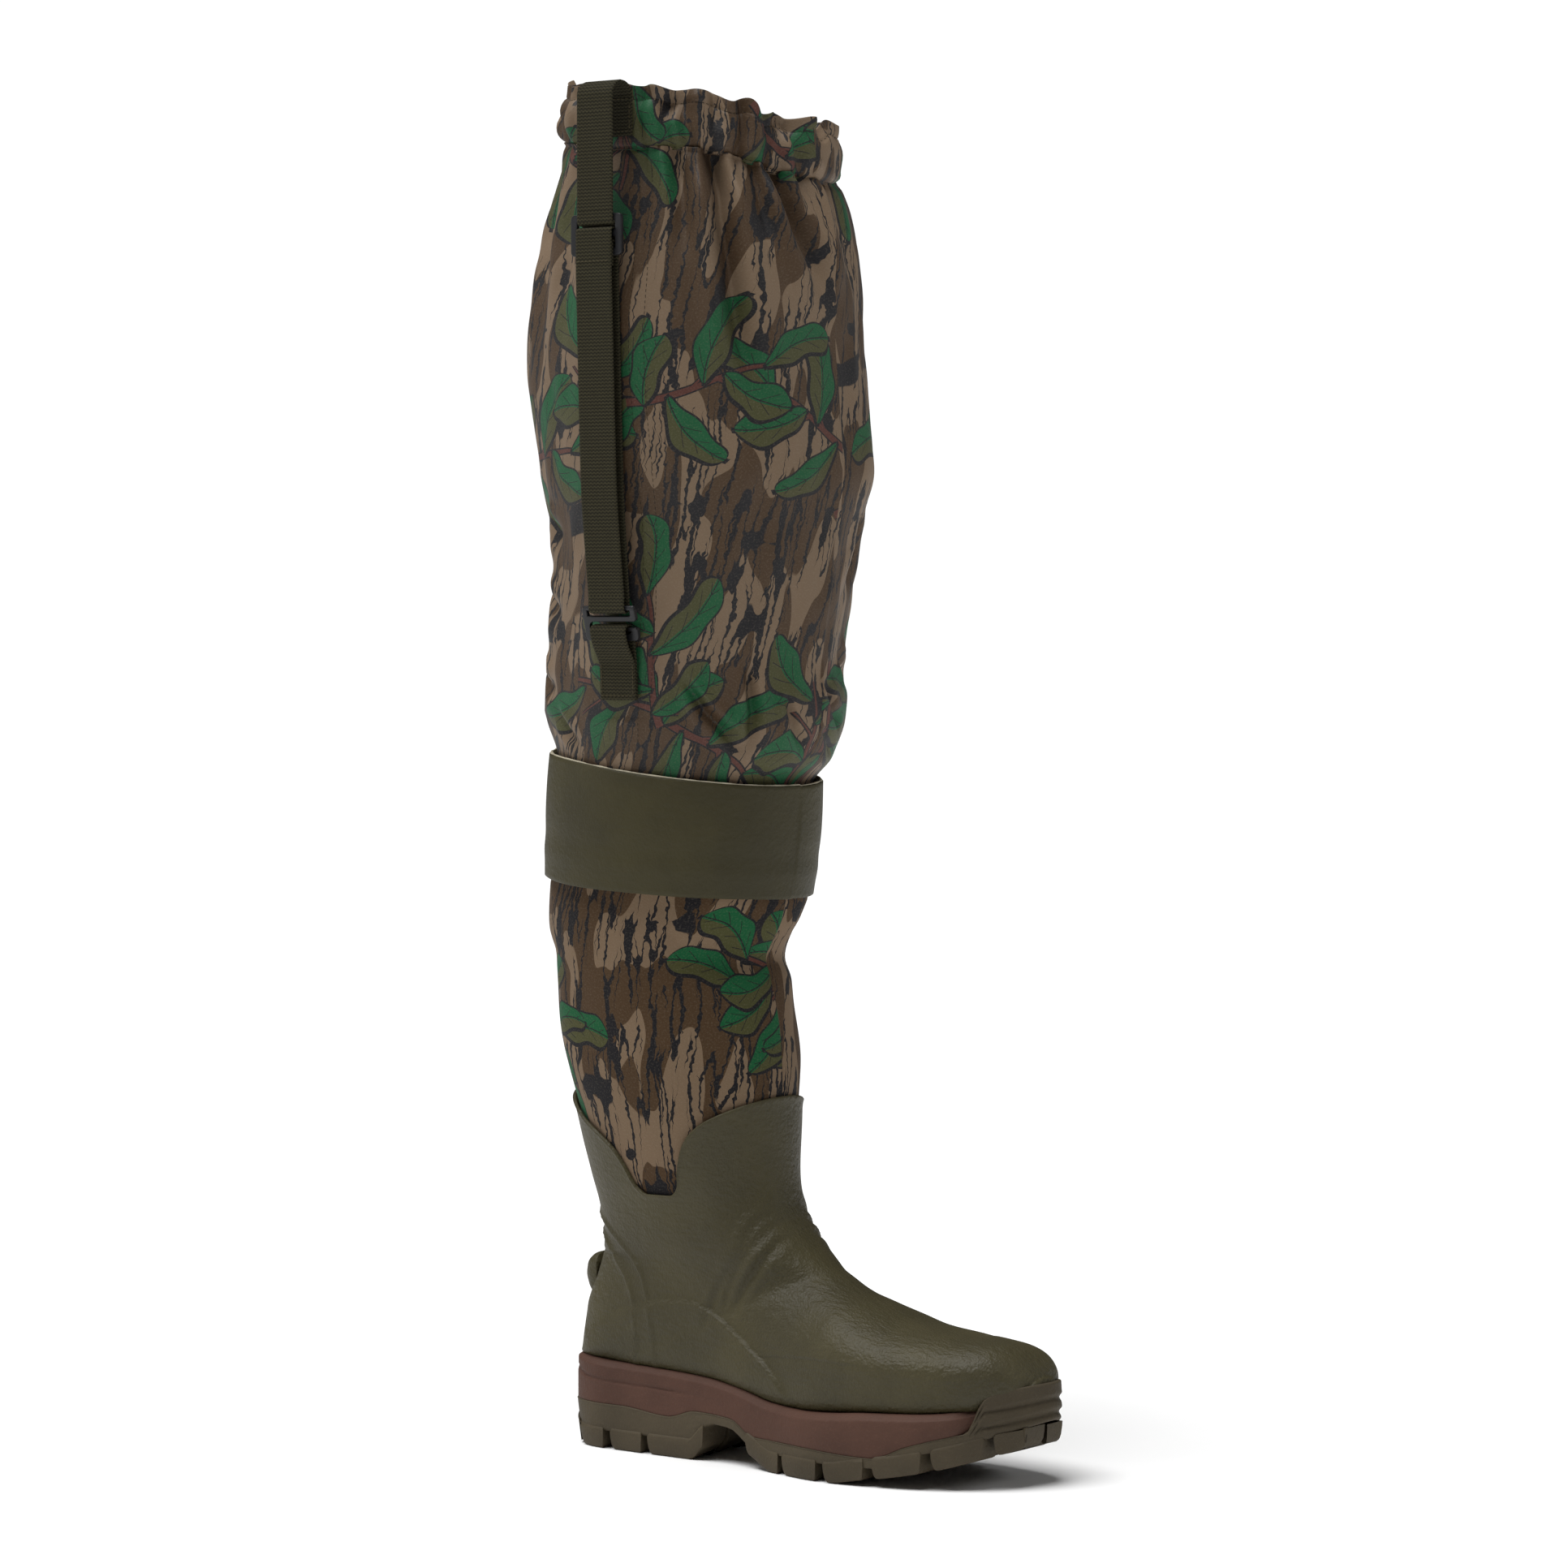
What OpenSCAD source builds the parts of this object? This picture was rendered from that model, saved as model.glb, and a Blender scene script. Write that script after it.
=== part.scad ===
// Thigh-high hip wader, right foot: rubber boot, neoprene shaft, fabric leg and belt strap.
// Origin: on the ground under the middle of the heel. +X to the toe, +Z up, -Y the outer side.

/* [Boot] */
// Wall of the moulded rubber upper
rubber_t = 2.2; // [1.6:0.1:2.2]
// Wall of the heel counter and the toe puff
stiffener_t = 1.2; // [0.8:0.1:1.2]
// Wall of the neoprene sock in the foot
sock_t = 2.6; // [2:0.1:2.8]
// Wall of the neoprene shaft
neoprene_t = 3.5; // [2.5:0.5:3.5]
// Depth of the tread grooves
lug_depth = 8; // [5:0.5:8]
// Wall of the knee band
band_t = 2.6; // [2:0.1:2.8]

/* [Leg] */
// Thickness of the leg fabric with its coating
fabric_t = 1.2; // [0.8:0.1:1.4]
// Height at which the leg fabric stops bending with the knee
fold_top = 580; // [575:1:590]
// Angle of the side seams from the front of the leg
seam_angle = 80; // [75:1:90]
// Width of the tape inside each side seam
seam_tape_w = 20; // [16:1:24]
// Height of the gathered hem
hem_h = 32; // [28:1:34]

/* [Strap] */
// Width of the webbing
web_w = 26; // [24:1:26]
// Thickness of the webbing
web_t = 1.2; // [1:0.1:1.2]
// Height of the middle of the slider's web bar
slider_z = 715.7; // [700:0.1:720]

/* [Hidden] */

segs = 36; // points round the foot and the shaft
leg_segs = 48; // points round the fabric leg

// Colours
olive_rubber = [0.26, 0.26, 0.16];
tread_brown = [0.30, 0.25, 0.17];
foam_brown = [0.33, 0.20, 0.16];
camo_tan = [0.55, 0.44, 0.32];
camo_brown = [0.36, 0.27, 0.17];
web_olive = [0.20, 0.19, 0.13];
charcoal = [0.10, 0.10, 0.11];

// Foot sections from the toe to the ankle. Each is a closed loop between a front or top point
// and a bottom or back point: [front x, front z, back x, back z, half width, centre y, squareness]
FOOT = [
    [261, 60, 261, 47, 12, 10.5, 3],
    [256.5, 65, 256.5, 46.5, 20.5, 9.5, 3],
    [250, 72, 250, 45.5, 27.5, 7.5, 3.5],
    [240, 80, 239, 42, 35, 5, 4],
    [225, 85.5, 223, 40, 41.5, 2.5, 5],
    [207, 88.5, 202, 39, 46, 0, 6],
    [187, 91, 179, 38, 48.5, -2, 6],
    [169, 95, 155, 36, 48, -3, 6],
    [152, 100, 131, 35, 45, -4, 6],
    [147, 102, 107, 36.5, 41.5, -4, 6],
    [143, 104, 82, 42, 39, -3.5, 6],
    [139, 106, 55, 46, 37.5, -2.5, 6],
    [135, 108.5, 27, 47.5, 37, -1.5, 6],
    [132, 110.5, -1, 48.5, 37, -1, 6],
    [129, 112, -28, 49.5, 37, 0, 5],
    [127, 113.5, -47, 56, 37, 0, 4],
    [125, 114.5, -51, 80, 37.5, 0, 3.2],
    [123, 115.5, -46, 100, 38, 0, 2.8],
    [122, 116, -42, 116, 38.5, 0, 2.4]
];
ankle = len(FOOT) - 1; // index of the level section at the ankle
ankle_z = FOOT[ankle][1];

// Outer surface of the ankle and shaft: height against centre x, half length, half width
SHAFT_X = [[116, 40], [130, 32], [150, 25.5], [163, 22], [201, 17], [239, 12], [277, 6], [295, 3.5],
    [315, 5], [345, 9], [372, 12]];
SHAFT_A = [[116, 82], [130, 73], [150, 67.5], [163, 68], [201, 71.5], [239, 76.4], [277, 75.4],
    [295, 73.5], [315, 77.4], [345, 79], [372, 79.5]];
SHAFT_B = [[116, 38.5], [130, 41], [150, 44.5], [163, 48], [201, 57], [239, 64.4], [277, 66.4],
    [295, 67.5], [315, 70.4], [345, 72], [372, 73]];

// Outer surface of the fabric leg
LEG_X = [[373, 12], [395, 14], [415, 16], [432, 17.5], [466, 22], [505, 26], [543, 28], [581, 27],
    [619, 24], [657, 22], [733, 23], [763, 20], [795, 22]];
LEG_A = [[373, 77], [395, 77.8], [415, 80], [432, 84], [466, 88], [505, 90], [543, 92], [581, 99],
    [657, 100], [695, 98], [733, 90.5], [763, 85], [795, 85]];
LEG_B = [[373, 70.8], [395, 72], [415, 74.5], [432, 77.5], [466, 81], [505, 83], [543, 85], [581, 91],
    [657, 92], [695, 90], [733, 83.5], [763, 78.5], [795, 79]];
LEG_Y = [[373, 0], [505, 2]];

// Top edge of the rubber upper: x against height, with a notch on each side
RUBBER_EDGE = [[-53, 214], [-28, 198], [-3, 181], [3, 170], [7, 160], [15, 154.5], [31, 154.5],
    [39, 160], [43, 172], [49, 186], [59, 197], [72, 205], [91, 214]];

// Sole outline, anticlockwise seen from above, starting at the back of the heel
SOLE = [
    [-56, 0], [-49, -25], [-28, -38], [4, -40], [70, -42], [110, -48.5], [140, -56], [165, -57.5],
    [192, -54], [220, -46], [245, -30], [261, -10], [269, 12], [262, 30], [244, 42.5], [215, 50],
    [180, 52], [148, 47.5], [118, 38], [90, 33], [58, 33.5], [20, 38], [-28, 38], [-49, 25]
];

// Side profiles of the sole: x against height
GROUND = [[-60, 0], [47, 0], [56, 8], [71, 15], [93, 8], [114, 0], [158, 0], [177, 3], [202, 7],
    [225, 12], [242, 17], [257, 22], [272, 28]];
SOLE_TOP = [[-60, 27], [-5, 27], [31, 24], [51, 29], [78, 27.5], [96, 19], [137, 18.6], [187, 16.7],
    [208, 24.5], [235, 32], [272, 38.7]];
BUMPER_TOP = [[243, 41], [247, 52], [255, 57], [272, 60]];
GROOVES = [[-41.5, 3], [-14.5, 5], [14.5, 5], [121, 4], [153.5, 5], [185.5, 5], [219.5, 5], [249, 4]];

board_t = 2.2; // lasting board
seat_gap = 0.5; // between the midsole and the rubber sock above it

// Strap planes, measured across the leg, from the slider's middle plane
slider_y = -95.2;
strap_x = 23;
back_y = slider_y + 3.4; // web behind the slider
top_y = slider_y - 2; // web in front of the slider's top bar
tail_y = slider_y - 1.9; // folded end in front of the slider's lower bar
front_y = slider_y - 3.2; // web in front of the folded end
pivot_z = 786; // where the web starts to swing
strap_bend_z = 575; // below this the web leans in to the leg

// Hook, on its own tilted frame
hook_x = 28;
hook_y = -91;
hook_z = 500;
hook_tilt = 15;
hook_t = 3;
hook_w = 38;
bar_r = 1.5; // round top bar
bore_r = 1.9; // web wrapped round it

// ---- functions ----

function clamp01(v) = min(1, max(0, v));
function smooth(v) = clamp01(v) * clamp01(v) * (3 - 2 * clamp01(v));
function root(v, n) = (v < 0 ? -1 : 1) * pow(abs(v), 2 / n);
function flat(grid) = [for (row = grid) each row];
function turned(faces) = [for (f = faces) [for (i = [len(f) - 1:-1:0]) f[i]]];

// Point t of a foot section, moved in by d
function foot_point(s, t, d) =
    let (front = [s[0], s[1]], back = [s[2], s[3]], len2 = norm(front - back) / 2,
        u = (front - back) / (2 * len2), along = [u[1], -u[0]],
        n = cos(t) > 0 ? 2.3 : s[6], toe = smooth((s[0] - 225) / 30),
        c = (front + back) / 2 - along * d * toe * 0.9,
        p = c + u * (len2 - d) * root(cos(t), n))
    [p[0], s[5] - (s[4] - d) * root(sin(t), n), p[1]];

function foot_grid(d, k0, k1, t0, t1, n) =
    [for (k = [k0:k1]) [for (j = [0:n]) foot_point(FOOT[k], t0 + (t1 - t0) * j / n, d)]];

// Point of the shaft at angle t and height z, moved in by d
function shaft_point(t, z, d) =
    let (n = 2.4 - 0.3 * smooth((z - ankle_z) / 40))
    [lookup(z, SHAFT_X) + (lookup(z, SHAFT_A) - d) * root(cos(t), n),
        -(lookup(z, SHAFT_B) - d) * root(sin(t), n), z];

function leg_point(t, z, d) =
    [lookup(z, LEG_X) + (lookup(z, LEG_A) - d) * cos(t),
        lookup(z, LEG_Y) - (lookup(z, LEG_B) - d) * sin(t), z];

function shaft_grid(d, z0, z1, rows) =
    [for (k = [0:rows]) [for (j = [0:segs - 1]) shaft_point(360 * j / segs, z0 + (z1 - z0) * k / rows, d)]];

function leg_grid(d, levels, t0, t1, n) =
    [for (z = levels) [for (j = [0:n]) leg_point(t0 + (t1 - t0) * j / n, z, d)]];

// The rubber from the ankle up to its notched edge
function notch_row(f, d) =
    [for (j = [0:segs - 1])
        let (t = 360 * j / segs, top = lookup(shaft_point(t, 185, 0)[0], RUBBER_EDGE))
        shaft_point(t, ankle_z + f * (top - ankle_z), d)];

// Lines that slope down to the front of the leg
function hem_line(x, h) = 763 - 0.175 * (x - 20) + h;
function band_point(t, f, d) =
    let (x = lookup(336 + 70 * f, [[336, 10], [406, 15.5]]), bulge = 1.2 * sin(180 * f),
        px = x + (82.5 + f + bulge - d) * cos(t))
    [px, -(76.5 + f + bulge - d) * sin(t), 336 + 70 * f - (0.07 + 0.057 * f) * (px - x)];

// Sole outline as a smooth closed curve, moved in by the given amount
function bend(a, b, c, d, f) =
    0.5 * (2 * b + (c - a) * f + (2 * a - 5 * b + 4 * c - d) * f * f
        + (3 * b - a - 3 * c + d) * f * f * f);
function sole_curve(steps = 4) =
    let (n = len(SOLE))
    [for (i = [0:n - 1], s = [0:steps - 1])
        bend(SOLE[(i + n - 1) % n], SOLE[i], SOLE[(i + 1) % n], SOLE[(i + 2) % n], s / steps)];
function inset(pts, d) =
    let (n = len(pts))
    [for (i = [0:n - 1])
        let (e = pts[(i + 1) % n] - pts[(i + n - 1) % n], u = e / norm(e))
        pts[i] + [-u[1], u[0]] * d];
function mid_inset(x) = 1.5 + 2.9 * smooth((x - 228) / 12);
function midsole_outline() =
    let (c = sole_curve(), n = len(c))
    [for (i = [0:n - 1])
        let (e = c[(i + 1) % n] - c[(i + n - 1) % n], u = e / norm(e))
        c[i] + [-u[1], u[0]] * mid_inset(c[i][0])];

// Top of the midsole, seen from the side, from the heel to the toe
mid_top = [for (k = [ankle - 4:-1:0]) [FOOT[k][2], FOOT[k][3] - seat_gap]];

// Point given on the hook's tilted frame, as [y, z] on the leg
function on_hook(y, z) =
    [hook_y + y * cos(hook_tilt) - z * sin(hook_tilt), hook_z + y * sin(hook_tilt) + z * cos(hook_tilt)];

// ---- shared modules ----

// Closed wall between two grids of points. ring: the rows close on themselves.
// cap: the first row is closed by a flat end instead of joining wall to wall.
module wall(outer, inner, ring = true, cap = false) {
    rows = len(outer);
    cols = len(outer[0]);
    n = rows * cols;
    last = ring ? cols - 1 : cols - 2;
    function at(k, j) = k * cols + (j % cols);
    out_faces = [for (k = [0:rows - 2], j = [0:last], f = [0, 1]) f == 0
        ? [at(k, j), at(k + 1, j + 1), at(k, j + 1)]
        : [at(k, j), at(k + 1, j), at(k + 1, j + 1)]];
    in_faces = [for (f = out_faces) [f[0] + n, f[2] + n, f[1] + n]];
    end_faces = [for (k = [0, rows - 1], j = [0:last], f = [0, 1]) if (!(cap && k == 0))
        let (a = at(k, j), b = at(k, j + 1), first = k == 0)
        f == 0
            ? (first ? [a, b, b + n] : [a, b + n, b])
            : (first ? [a, b + n, a + n] : [a, a + n, b + n])];
    cap_faces = cap ? [[for (j = [0:cols - 1]) j], [for (j = [cols - 1:-1:0]) j + n]] : [];
    side_faces = ring ? [] : [for (k = [0:rows - 2], j = [0, cols - 1], f = [0, 1])
        let (a = at(k, j), b = a + cols, first = j == 0)
        f == 0
            ? (first ? [a, b + n, b] : [a, b, b + n])
            : (first ? [a, a + n, b + n] : [a, b + n, a + n])];
    polyhedron(concat(flat(outer), flat(inner)),
        turned(concat(out_faces, in_faces, end_faces, cap_faces, side_faces)), convexity = 8);
}

// Closed ring swept from one closed profile per step round the leg
module ring_sweep(profiles) {
    rows = len(profiles);
    cols = len(profiles[0]);
    function at(k, j) = (k % rows) * cols + (j % cols);
    faces = [for (k = [0:rows - 1], j = [0:cols - 1], f = [0, 1]) f == 0
        ? [at(k, j), at(k, j + 1), at(k + 1, j + 1)]
        : [at(k, j), at(k + 1, j + 1), at(k + 1, j)]];
    polyhedron(flat(profiles), turned(faces), convexity = 8);
}

// Side view shape, drawn in x and z, as thick as the boot is wide
module side_slab(points, y0 = -80, y1 = 80) {
    translate([0, y1, 0])
        rotate([90, 0, 0])
            linear_extrude(y1 - y0)
                polygon(points);
}

// Shape drawn in y and z, extruded along x
module across_web(points, x, width) {
    translate([x - width / 2, 0, 0])
        rotate([90, 0, 90])
            linear_extrude(width)
                polygon(points);
}

module sole_prism(points, z0, z1) {
    translate([0, 0, z0])
        linear_extrude(z1 - z0)
            polygon(points);
}

// Strip of web through the given [y, z] points
module web(points, x = strap_x) {
    back = [for (i = [len(points) - 1:-1:0]) points[i] + [web_t / 2, 0]];
    across_web(concat([for (p = points) p - [web_t / 2, 0]], back), x, web_w);
}

// Block of web between two corners in y and z
module web_block(y0, y1, z0, z1) {
    translate([strap_x - web_w / 2, y0, z0])
        cube([web_w, y1 - y0, z1 - z0]);
}

function band_between(low, high) = concat(low, [for (i = [len(high) - 1:-1:0]) high[i]]);

// ---- boot ----

module groove(x, width) {
    low = lookup(x, GROUND);
    translate([x - width / 2, -80, low - 10])
        cube([width, 160, lug_depth + 10]);
}

module outsole() {
    channel_y = 15;
    color(tread_brown) {
        difference() {
            intersection() {
                sole_prism(sole_curve(), -1, 80);
                side_slab(band_between(GROUND, SOLE_TOP));
            }
            for (g = GROOVES)
                groove(g[0], g[1]);
            // lengthwise channels in the heel and the tread
            for (side = [-1, 1], x = [-36, 128])
                translate([x, side * channel_y - 2, -1])
                    cube([74, 4, 6]);
        }
        toe_bumper();
    }
}

module toe_bumper() {
    wall_t = 3.6;
    low = [for (p = BUMPER_TOP) [p[0], lookup(p[0], SOLE_TOP) - 1]];
    intersection() {
        difference() {
            sole_prism(sole_curve(), 20, 70);
            sole_prism(inset(sole_curve(), wall_t), 10, 80);
        }
        side_slab(band_between(low, BUMPER_TOP));
    }
}

module midsole() {
    gap = 0.2;
    low = [for (p = SOLE_TOP) p + [0, gap]];
    color(foam_brown)
        difference() {
            intersection() {
                sole_prism(midsole_outline(), 5, 80);
                side_slab(band_between(low, concat([[-60, 51]], mid_top, [[272, 46.5]])));
            }
            board_shape(0.1);
            shank_shape(0.1);
        }
}

module board_shape(gap) {
    top = [for (p = mid_top) p + [0, gap > 0 ? 5 : -0.1]];
    bottom = [for (p = mid_top) p - [0, board_t + gap]];
    intersection() {
        sole_prism(inset(sole_curve(), 10 - gap), 5, 80);
        side_slab(band_between(bottom, top));
    }
}

module lasting_board() {
    color("tan")
        board_shape(0);
}

// Steel strip under the arch
module shank_shape(gap) {
    line = [[-5, 48.5], [27, 47.5], [55, 46], [82, 42], [107, 36.5], [120, 35.5]];
    depth = seat_gap + board_t + 0.3;
    side_slab(band_between([for (p = line) p - [0, depth + 2 + gap]], [for (p = line) p - [0, depth - gap]]),
        -9 - gap, 9 + gap);
}

module shank() {
    color("gray")
        shank_shape(0);
}

module insole() {
    lift = seat_gap + rubber_t + stiffener_t + sock_t + 1.8;
    low = [for (p = mid_top) p + [0, lift]];
    high = [for (p = mid_top) p + [0, lift + 4]];
    color("dimgray")
        intersection() {
            sole_prism(inset(sole_curve(), 20), 5, 80);
            side_slab(band_between(low, high));
            translate([-34, -80, 0])
                cube([262, 160, 100]);
        }
}

module rubber_upper() {
    notch_rows = [0.1, 0.2, 0.31, 0.42, 0.53, 0.64, 0.76, 0.88, 1];
    outer = concat(foot_rows(0), [for (f = notch_rows) notch_row(f, 0)]);
    inner = concat(foot_rows(rubber_t), [for (f = notch_rows) notch_row(f, rubber_t)]);
    color(olive_rubber)
        wall(outer, inner, cap = true);
}

// All foot sections as closed rows
function foot_rows(d) =
    [for (k = [0:ankle]) [for (j = [0:segs - 1]) foot_point(FOOT[k], 360 * j / segs, d)]];

sock_d = rubber_t + stiffener_t + 0.4;

module foot_lining() {
    color("black")
        wall(foot_rows(sock_d), foot_rows(sock_d + sock_t), cap = true);
}

module heel_counter() {
    d = rubber_t + 0.2;
    color("ivory")
        wall(foot_grid(d, ankle - 5, ankle - 1, 120, 240, 14),
            foot_grid(d + stiffener_t, ankle - 5, ankle - 1, 120, 240, 14), ring = false);
}

module toe_puff() {
    d = rubber_t + 0.2;
    color("ivory")
        wall(foot_grid(d, 0, 4, -85, 85, 16), foot_grid(d + stiffener_t, 0, 4, -85, 85, 16), ring = false);
}

// Ledge on the heel for pushing the boot off with the other foot
module kick_tab() {
    color(olive_rubber)
        side_slab([[-50.6, 88], [-48.6, 100], [-46, 111], [-49, 113], [-55.5, 108], [-57.5, 99], [-54, 90]],
            -15, 15);
}

module neoprene_shaft() {
    d = rubber_t + 0.6;
    color(camo_tan)
        wall(shaft_grid(d, ankle_z + 1, 370, 24), shaft_grid(d + neoprene_t, ankle_z + 1, 370, 24));
}

module knee_band() {
    outer = [for (k = [0:5]) [for (j = [0:leg_segs - 1]) band_point(360 * j / leg_segs, k / 5, 0)]];
    inner = [for (k = [0:5]) [for (j = [0:leg_segs - 1]) band_point(360 * j / leg_segs, k / 5, band_t)]];
    color(olive_rubber)
        wall(outer, inner);
}

// Tape inside the seam between the neoprene and the fabric
module knee_seam_tape() {
    d = rubber_t + neoprene_t + 0.9;
    color("black")
        wall(shaft_grid(d, 358, 384, 2), shaft_grid(d + 0.8, 358, 384, 2));
}

// ---- fabric leg ----

knee_levels = [373, 395, 415, 432, 466, 505, 543, fold_top - 0.3];
leg_levels = [fold_top, 600, 619, 657, 695, 715, 733, 750];

module knee_panel(t0, t1) {
    wall(leg_grid(0, knee_levels, t0, t1, leg_segs / 2), leg_grid(fabric_t, knee_levels, t0, t1, leg_segs / 2),
        ring = false);
}

// Rows of a thigh panel, the last one along the hem line
function thigh_rows(d, t0, t1) =
    let (n = leg_segs / 2)
    concat(
        [for (z = leg_levels) [for (j = [0:n])
            let (t = t0 + (t1 - t0) * j / n, top = hem_line(leg_point(t, 763, 0)[0], -1))
            leg_point(t, fold_top + (z - fold_top) * (top - fold_top) / (770 - fold_top), d)]],
        [[for (j = [0:n])
            let (t = t0 + (t1 - t0) * j / n)
            leg_point(t, hem_line(leg_point(t, 763, 0)[0], -1), d)]]);

module thigh_panel(t0, t1) {
    wall(thigh_rows(0, t0, t1), thigh_rows(fabric_t, t0, t1), ring = false);
}

edge = 0.15; // half the gap between the panels, in degrees

module knee_front_panel() {
    color(camo_tan)
        knee_panel(edge - seam_angle, seam_angle - edge);
}

module knee_back_panel() {
    color(camo_brown)
        knee_panel(seam_angle + edge, 360 - seam_angle - edge);
}

module leg_front_panel() {
    color(camo_tan)
        thigh_panel(edge - seam_angle, seam_angle - edge);
}

module leg_back_panel() {
    color(camo_brown)
        thigh_panel(seam_angle + edge, 360 - seam_angle - edge);
}

// Welded tape along the inside of a side seam
module seam_tape(side) {
    half = seam_tape_w / 2 / 90 * 180 / PI; // in degrees of the leg
    levels = [fold_top, 619, 657, 695, 733, 745];
    d = fabric_t + 0.9;
    mid = side * seam_angle;
    wall(leg_grid(d, levels, mid - half, mid + half, 4), leg_grid(d + 0.6, levels, mid - half, mid + half, 4),
        ring = false);
}

module seam_tape_lateral() {
    color("black")
        seam_tape(1);
}

module seam_tape_medial() {
    color("black")
        seam_tape(-1);
}

// Point of the hem: h above the elastic line, d inwards
function hem_point(t, h, d) =
    let (base = leg_point(t, 780, d), z = hem_line(base[0], h))
    [base[0], base[1], z];

// Folded tunnel, open below, that holds the elastic
module hem_casing() {
    layer = 1;
    room = 2.4;
    gathers = 1; // depth of the soft gathers
    profiles = [for (j = [0:leg_segs - 1])
        let (t = 360 * j / leg_segs, g = gathers * (j % 2))
        [hem_point(t, 0, g), hem_point(t, hem_h - 2, g), hem_point(t, hem_h, layer + g + room / 2),
            hem_point(t, hem_h - 2, 2 * layer + room + g), hem_point(t, 0, 2 * layer + room + g),
            hem_point(t, 0, layer + room + g), hem_point(t, hem_h - 3.5, layer + room + g),
            hem_point(t, hem_h - 3.5, layer + g), hem_point(t, 0, layer + g)]];
    color(camo_tan)
        ring_sweep(profiles);
}

module hem_elastic() {
    low = 2;
    high = 26;
    profiles = [for (j = [0:leg_segs - 1])
        let (t = 360 * j / leg_segs, g = j % 2)
        [hem_point(t, low, 1.4 + g), hem_point(t, high, 1.4 + g), hem_point(t, high, 3 + g),
            hem_point(t, low, 3 + g)]];
    color("ivory")
        ring_sweep(profiles);
}

// ---- strap ----

sewn_y = -78.9; // middle of the web sewn to the hem
loop_r = (sewn_y - top_y) / 2;
loop_z = 799.5;
tab_stitch_z = 450;

// Sewn end and the turn of web over the belt
module strap_top_end() {
    color(web_olive) {
        web([[sewn_y, 775], [sewn_y, loop_z]]);
        web([[top_y, pivot_z + 0.3], [top_y, loop_z]]);
        translate([strap_x - web_w / 2, (sewn_y + top_y) / 2, loop_z])
            rotate([90, 0, 90])
                difference() {
                    cylinder(h = web_w, r = loop_r + web_t / 2, $fn = 64);
                    translate([0, 0, -1])
                        cylinder(h = web_w + 2, r = loop_r - web_t / 2, $fn = 64);
                    translate([-20, -20, -1])
                        cube([40, 20, web_w + 2]);
                }
    }
}

// Rows of stitches on the face of a web
module stitch_rows(x, y, z0, rows, pitch_z, lean = 0) {
    stitch = [2.4, 0.4, 0.5];
    count = 7;
    for (r = [0:rows - 1], i = [0:count - 1])
        translate([x + (i - (count - 1) / 2) * 3.3 - stitch[0] / 2, y - r * lean, z0 + r * pitch_z])
            cube(stitch);
}

module top_stitching() {
    color("olive")
        stitch_rows(strap_x, sewn_y - web_t / 2 - 0.45, 777, 2, 16);
}

module strap_top_run() {
    color(web_olive)
        web([[top_y, slider_z + 13.4], [top_y, pivot_z]]);
}

// Moves web sideways, from the strap's line at the slider to the hook's line
module drift_to_hook() {
    k = (hook_x - strap_x) / (slider_z - 22 - hook_z - 7);
    multmatrix([[1, 0, -k, k * (slider_z - 22)], [0, 1, 0, 0], [0, 0, 1, 0]])
        children();
}

module strap_front_run() {
    color(web_olive)
        drift_to_hook()
            web([[hook_y - bore_r - web_t / 2, hook_z + 7.3], [front_y, strap_bend_z],
                [front_y, slider_z - 22.3]]);
}

module strap_back_run() {
    color(web_olive)
        drift_to_hook()
            web([[hook_y + bore_r + web_t / 2, hook_z + 7.3], [back_y, strap_bend_z],
                [back_y, slider_z - 16.3]]);
}

// Web turned round the hook's top bar
module hook_wrap() {
    color(web_olive)
        translate([hook_x - web_w / 2, hook_y, hook_z])
            rotate([90, 0, 90])
                difference() {
                    union() {
                        cylinder(h = web_w, r = bore_r + web_t, $fn = 48);
                        translate([-bore_r - web_t, 0, 0])
                            cube([2 * (bore_r + web_t), 7, web_w]);
                    }
                    translate([0, 0, -1])
                        cylinder(h = web_w + 2, r = bore_r, $fn = 48);
                    translate([-bore_r, 0, -1])
                        cube([2 * bore_r, 8, web_w + 2]);
                }
}

module rounded_plate(w, h, r, t) {
    for (z = [-1, 1], x = [-1, 1])
        translate([x * (w / 2 - r), 0, z * (h / 2 - r)])
            rotate([90, 0, 0])
                cylinder(h = t, r = r, center = true, $fn = 32);
    cube([w, t, h - 2 * r], center = true);
    cube([w - 2 * r, t, h], center = true);
}

// Three-bar slider: upper slot, thin web bar, lower slot
module tri_glide() {
    glide_t = 2.4;
    slot_w = web_w + 1.6;
    color(charcoal)
        difference() {
            translate([strap_x, slider_y, slider_z - 0.7])
                rounded_plate(37, 24, 3, glide_t);
            translate([strap_x - slot_w / 2, slider_y - 5, slider_z + 1.8])
                cube([slot_w, 10, 5.5]);
            translate([strap_x - slot_w / 2, slider_y - 5, slider_z - 8.7])
                cube([slot_w, 10, 7]);
            for (y = [slider_y + 0.6, slider_y - 0.6 - 5])
                translate([strap_x - slot_w / 2, y, slider_z - 5])
                    cube([slot_w, 5, 10]);
        }
}

// End of the web folded round the slider's web bar
module slider_wrap() {
    top = slider_z + 3.4;
    back = slider_y + 2.5;
    color(web_olive) {
        web_block(front_y - web_t / 2, front_y + web_t / 2, slider_z - 22, top);
        web_block(front_y - web_t / 2, back, top - web_t, top);
        web_block(back - web_t, back, slider_z - 3.8, top);
        web_block(tail_y - web_t / 2, back, slider_z - 4.8, slider_z - 3.6);
        web_block(tail_y - web_t / 2, tail_y + web_t / 2, slider_z - 18.7, slider_z - 3.6);
    }
}

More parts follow.
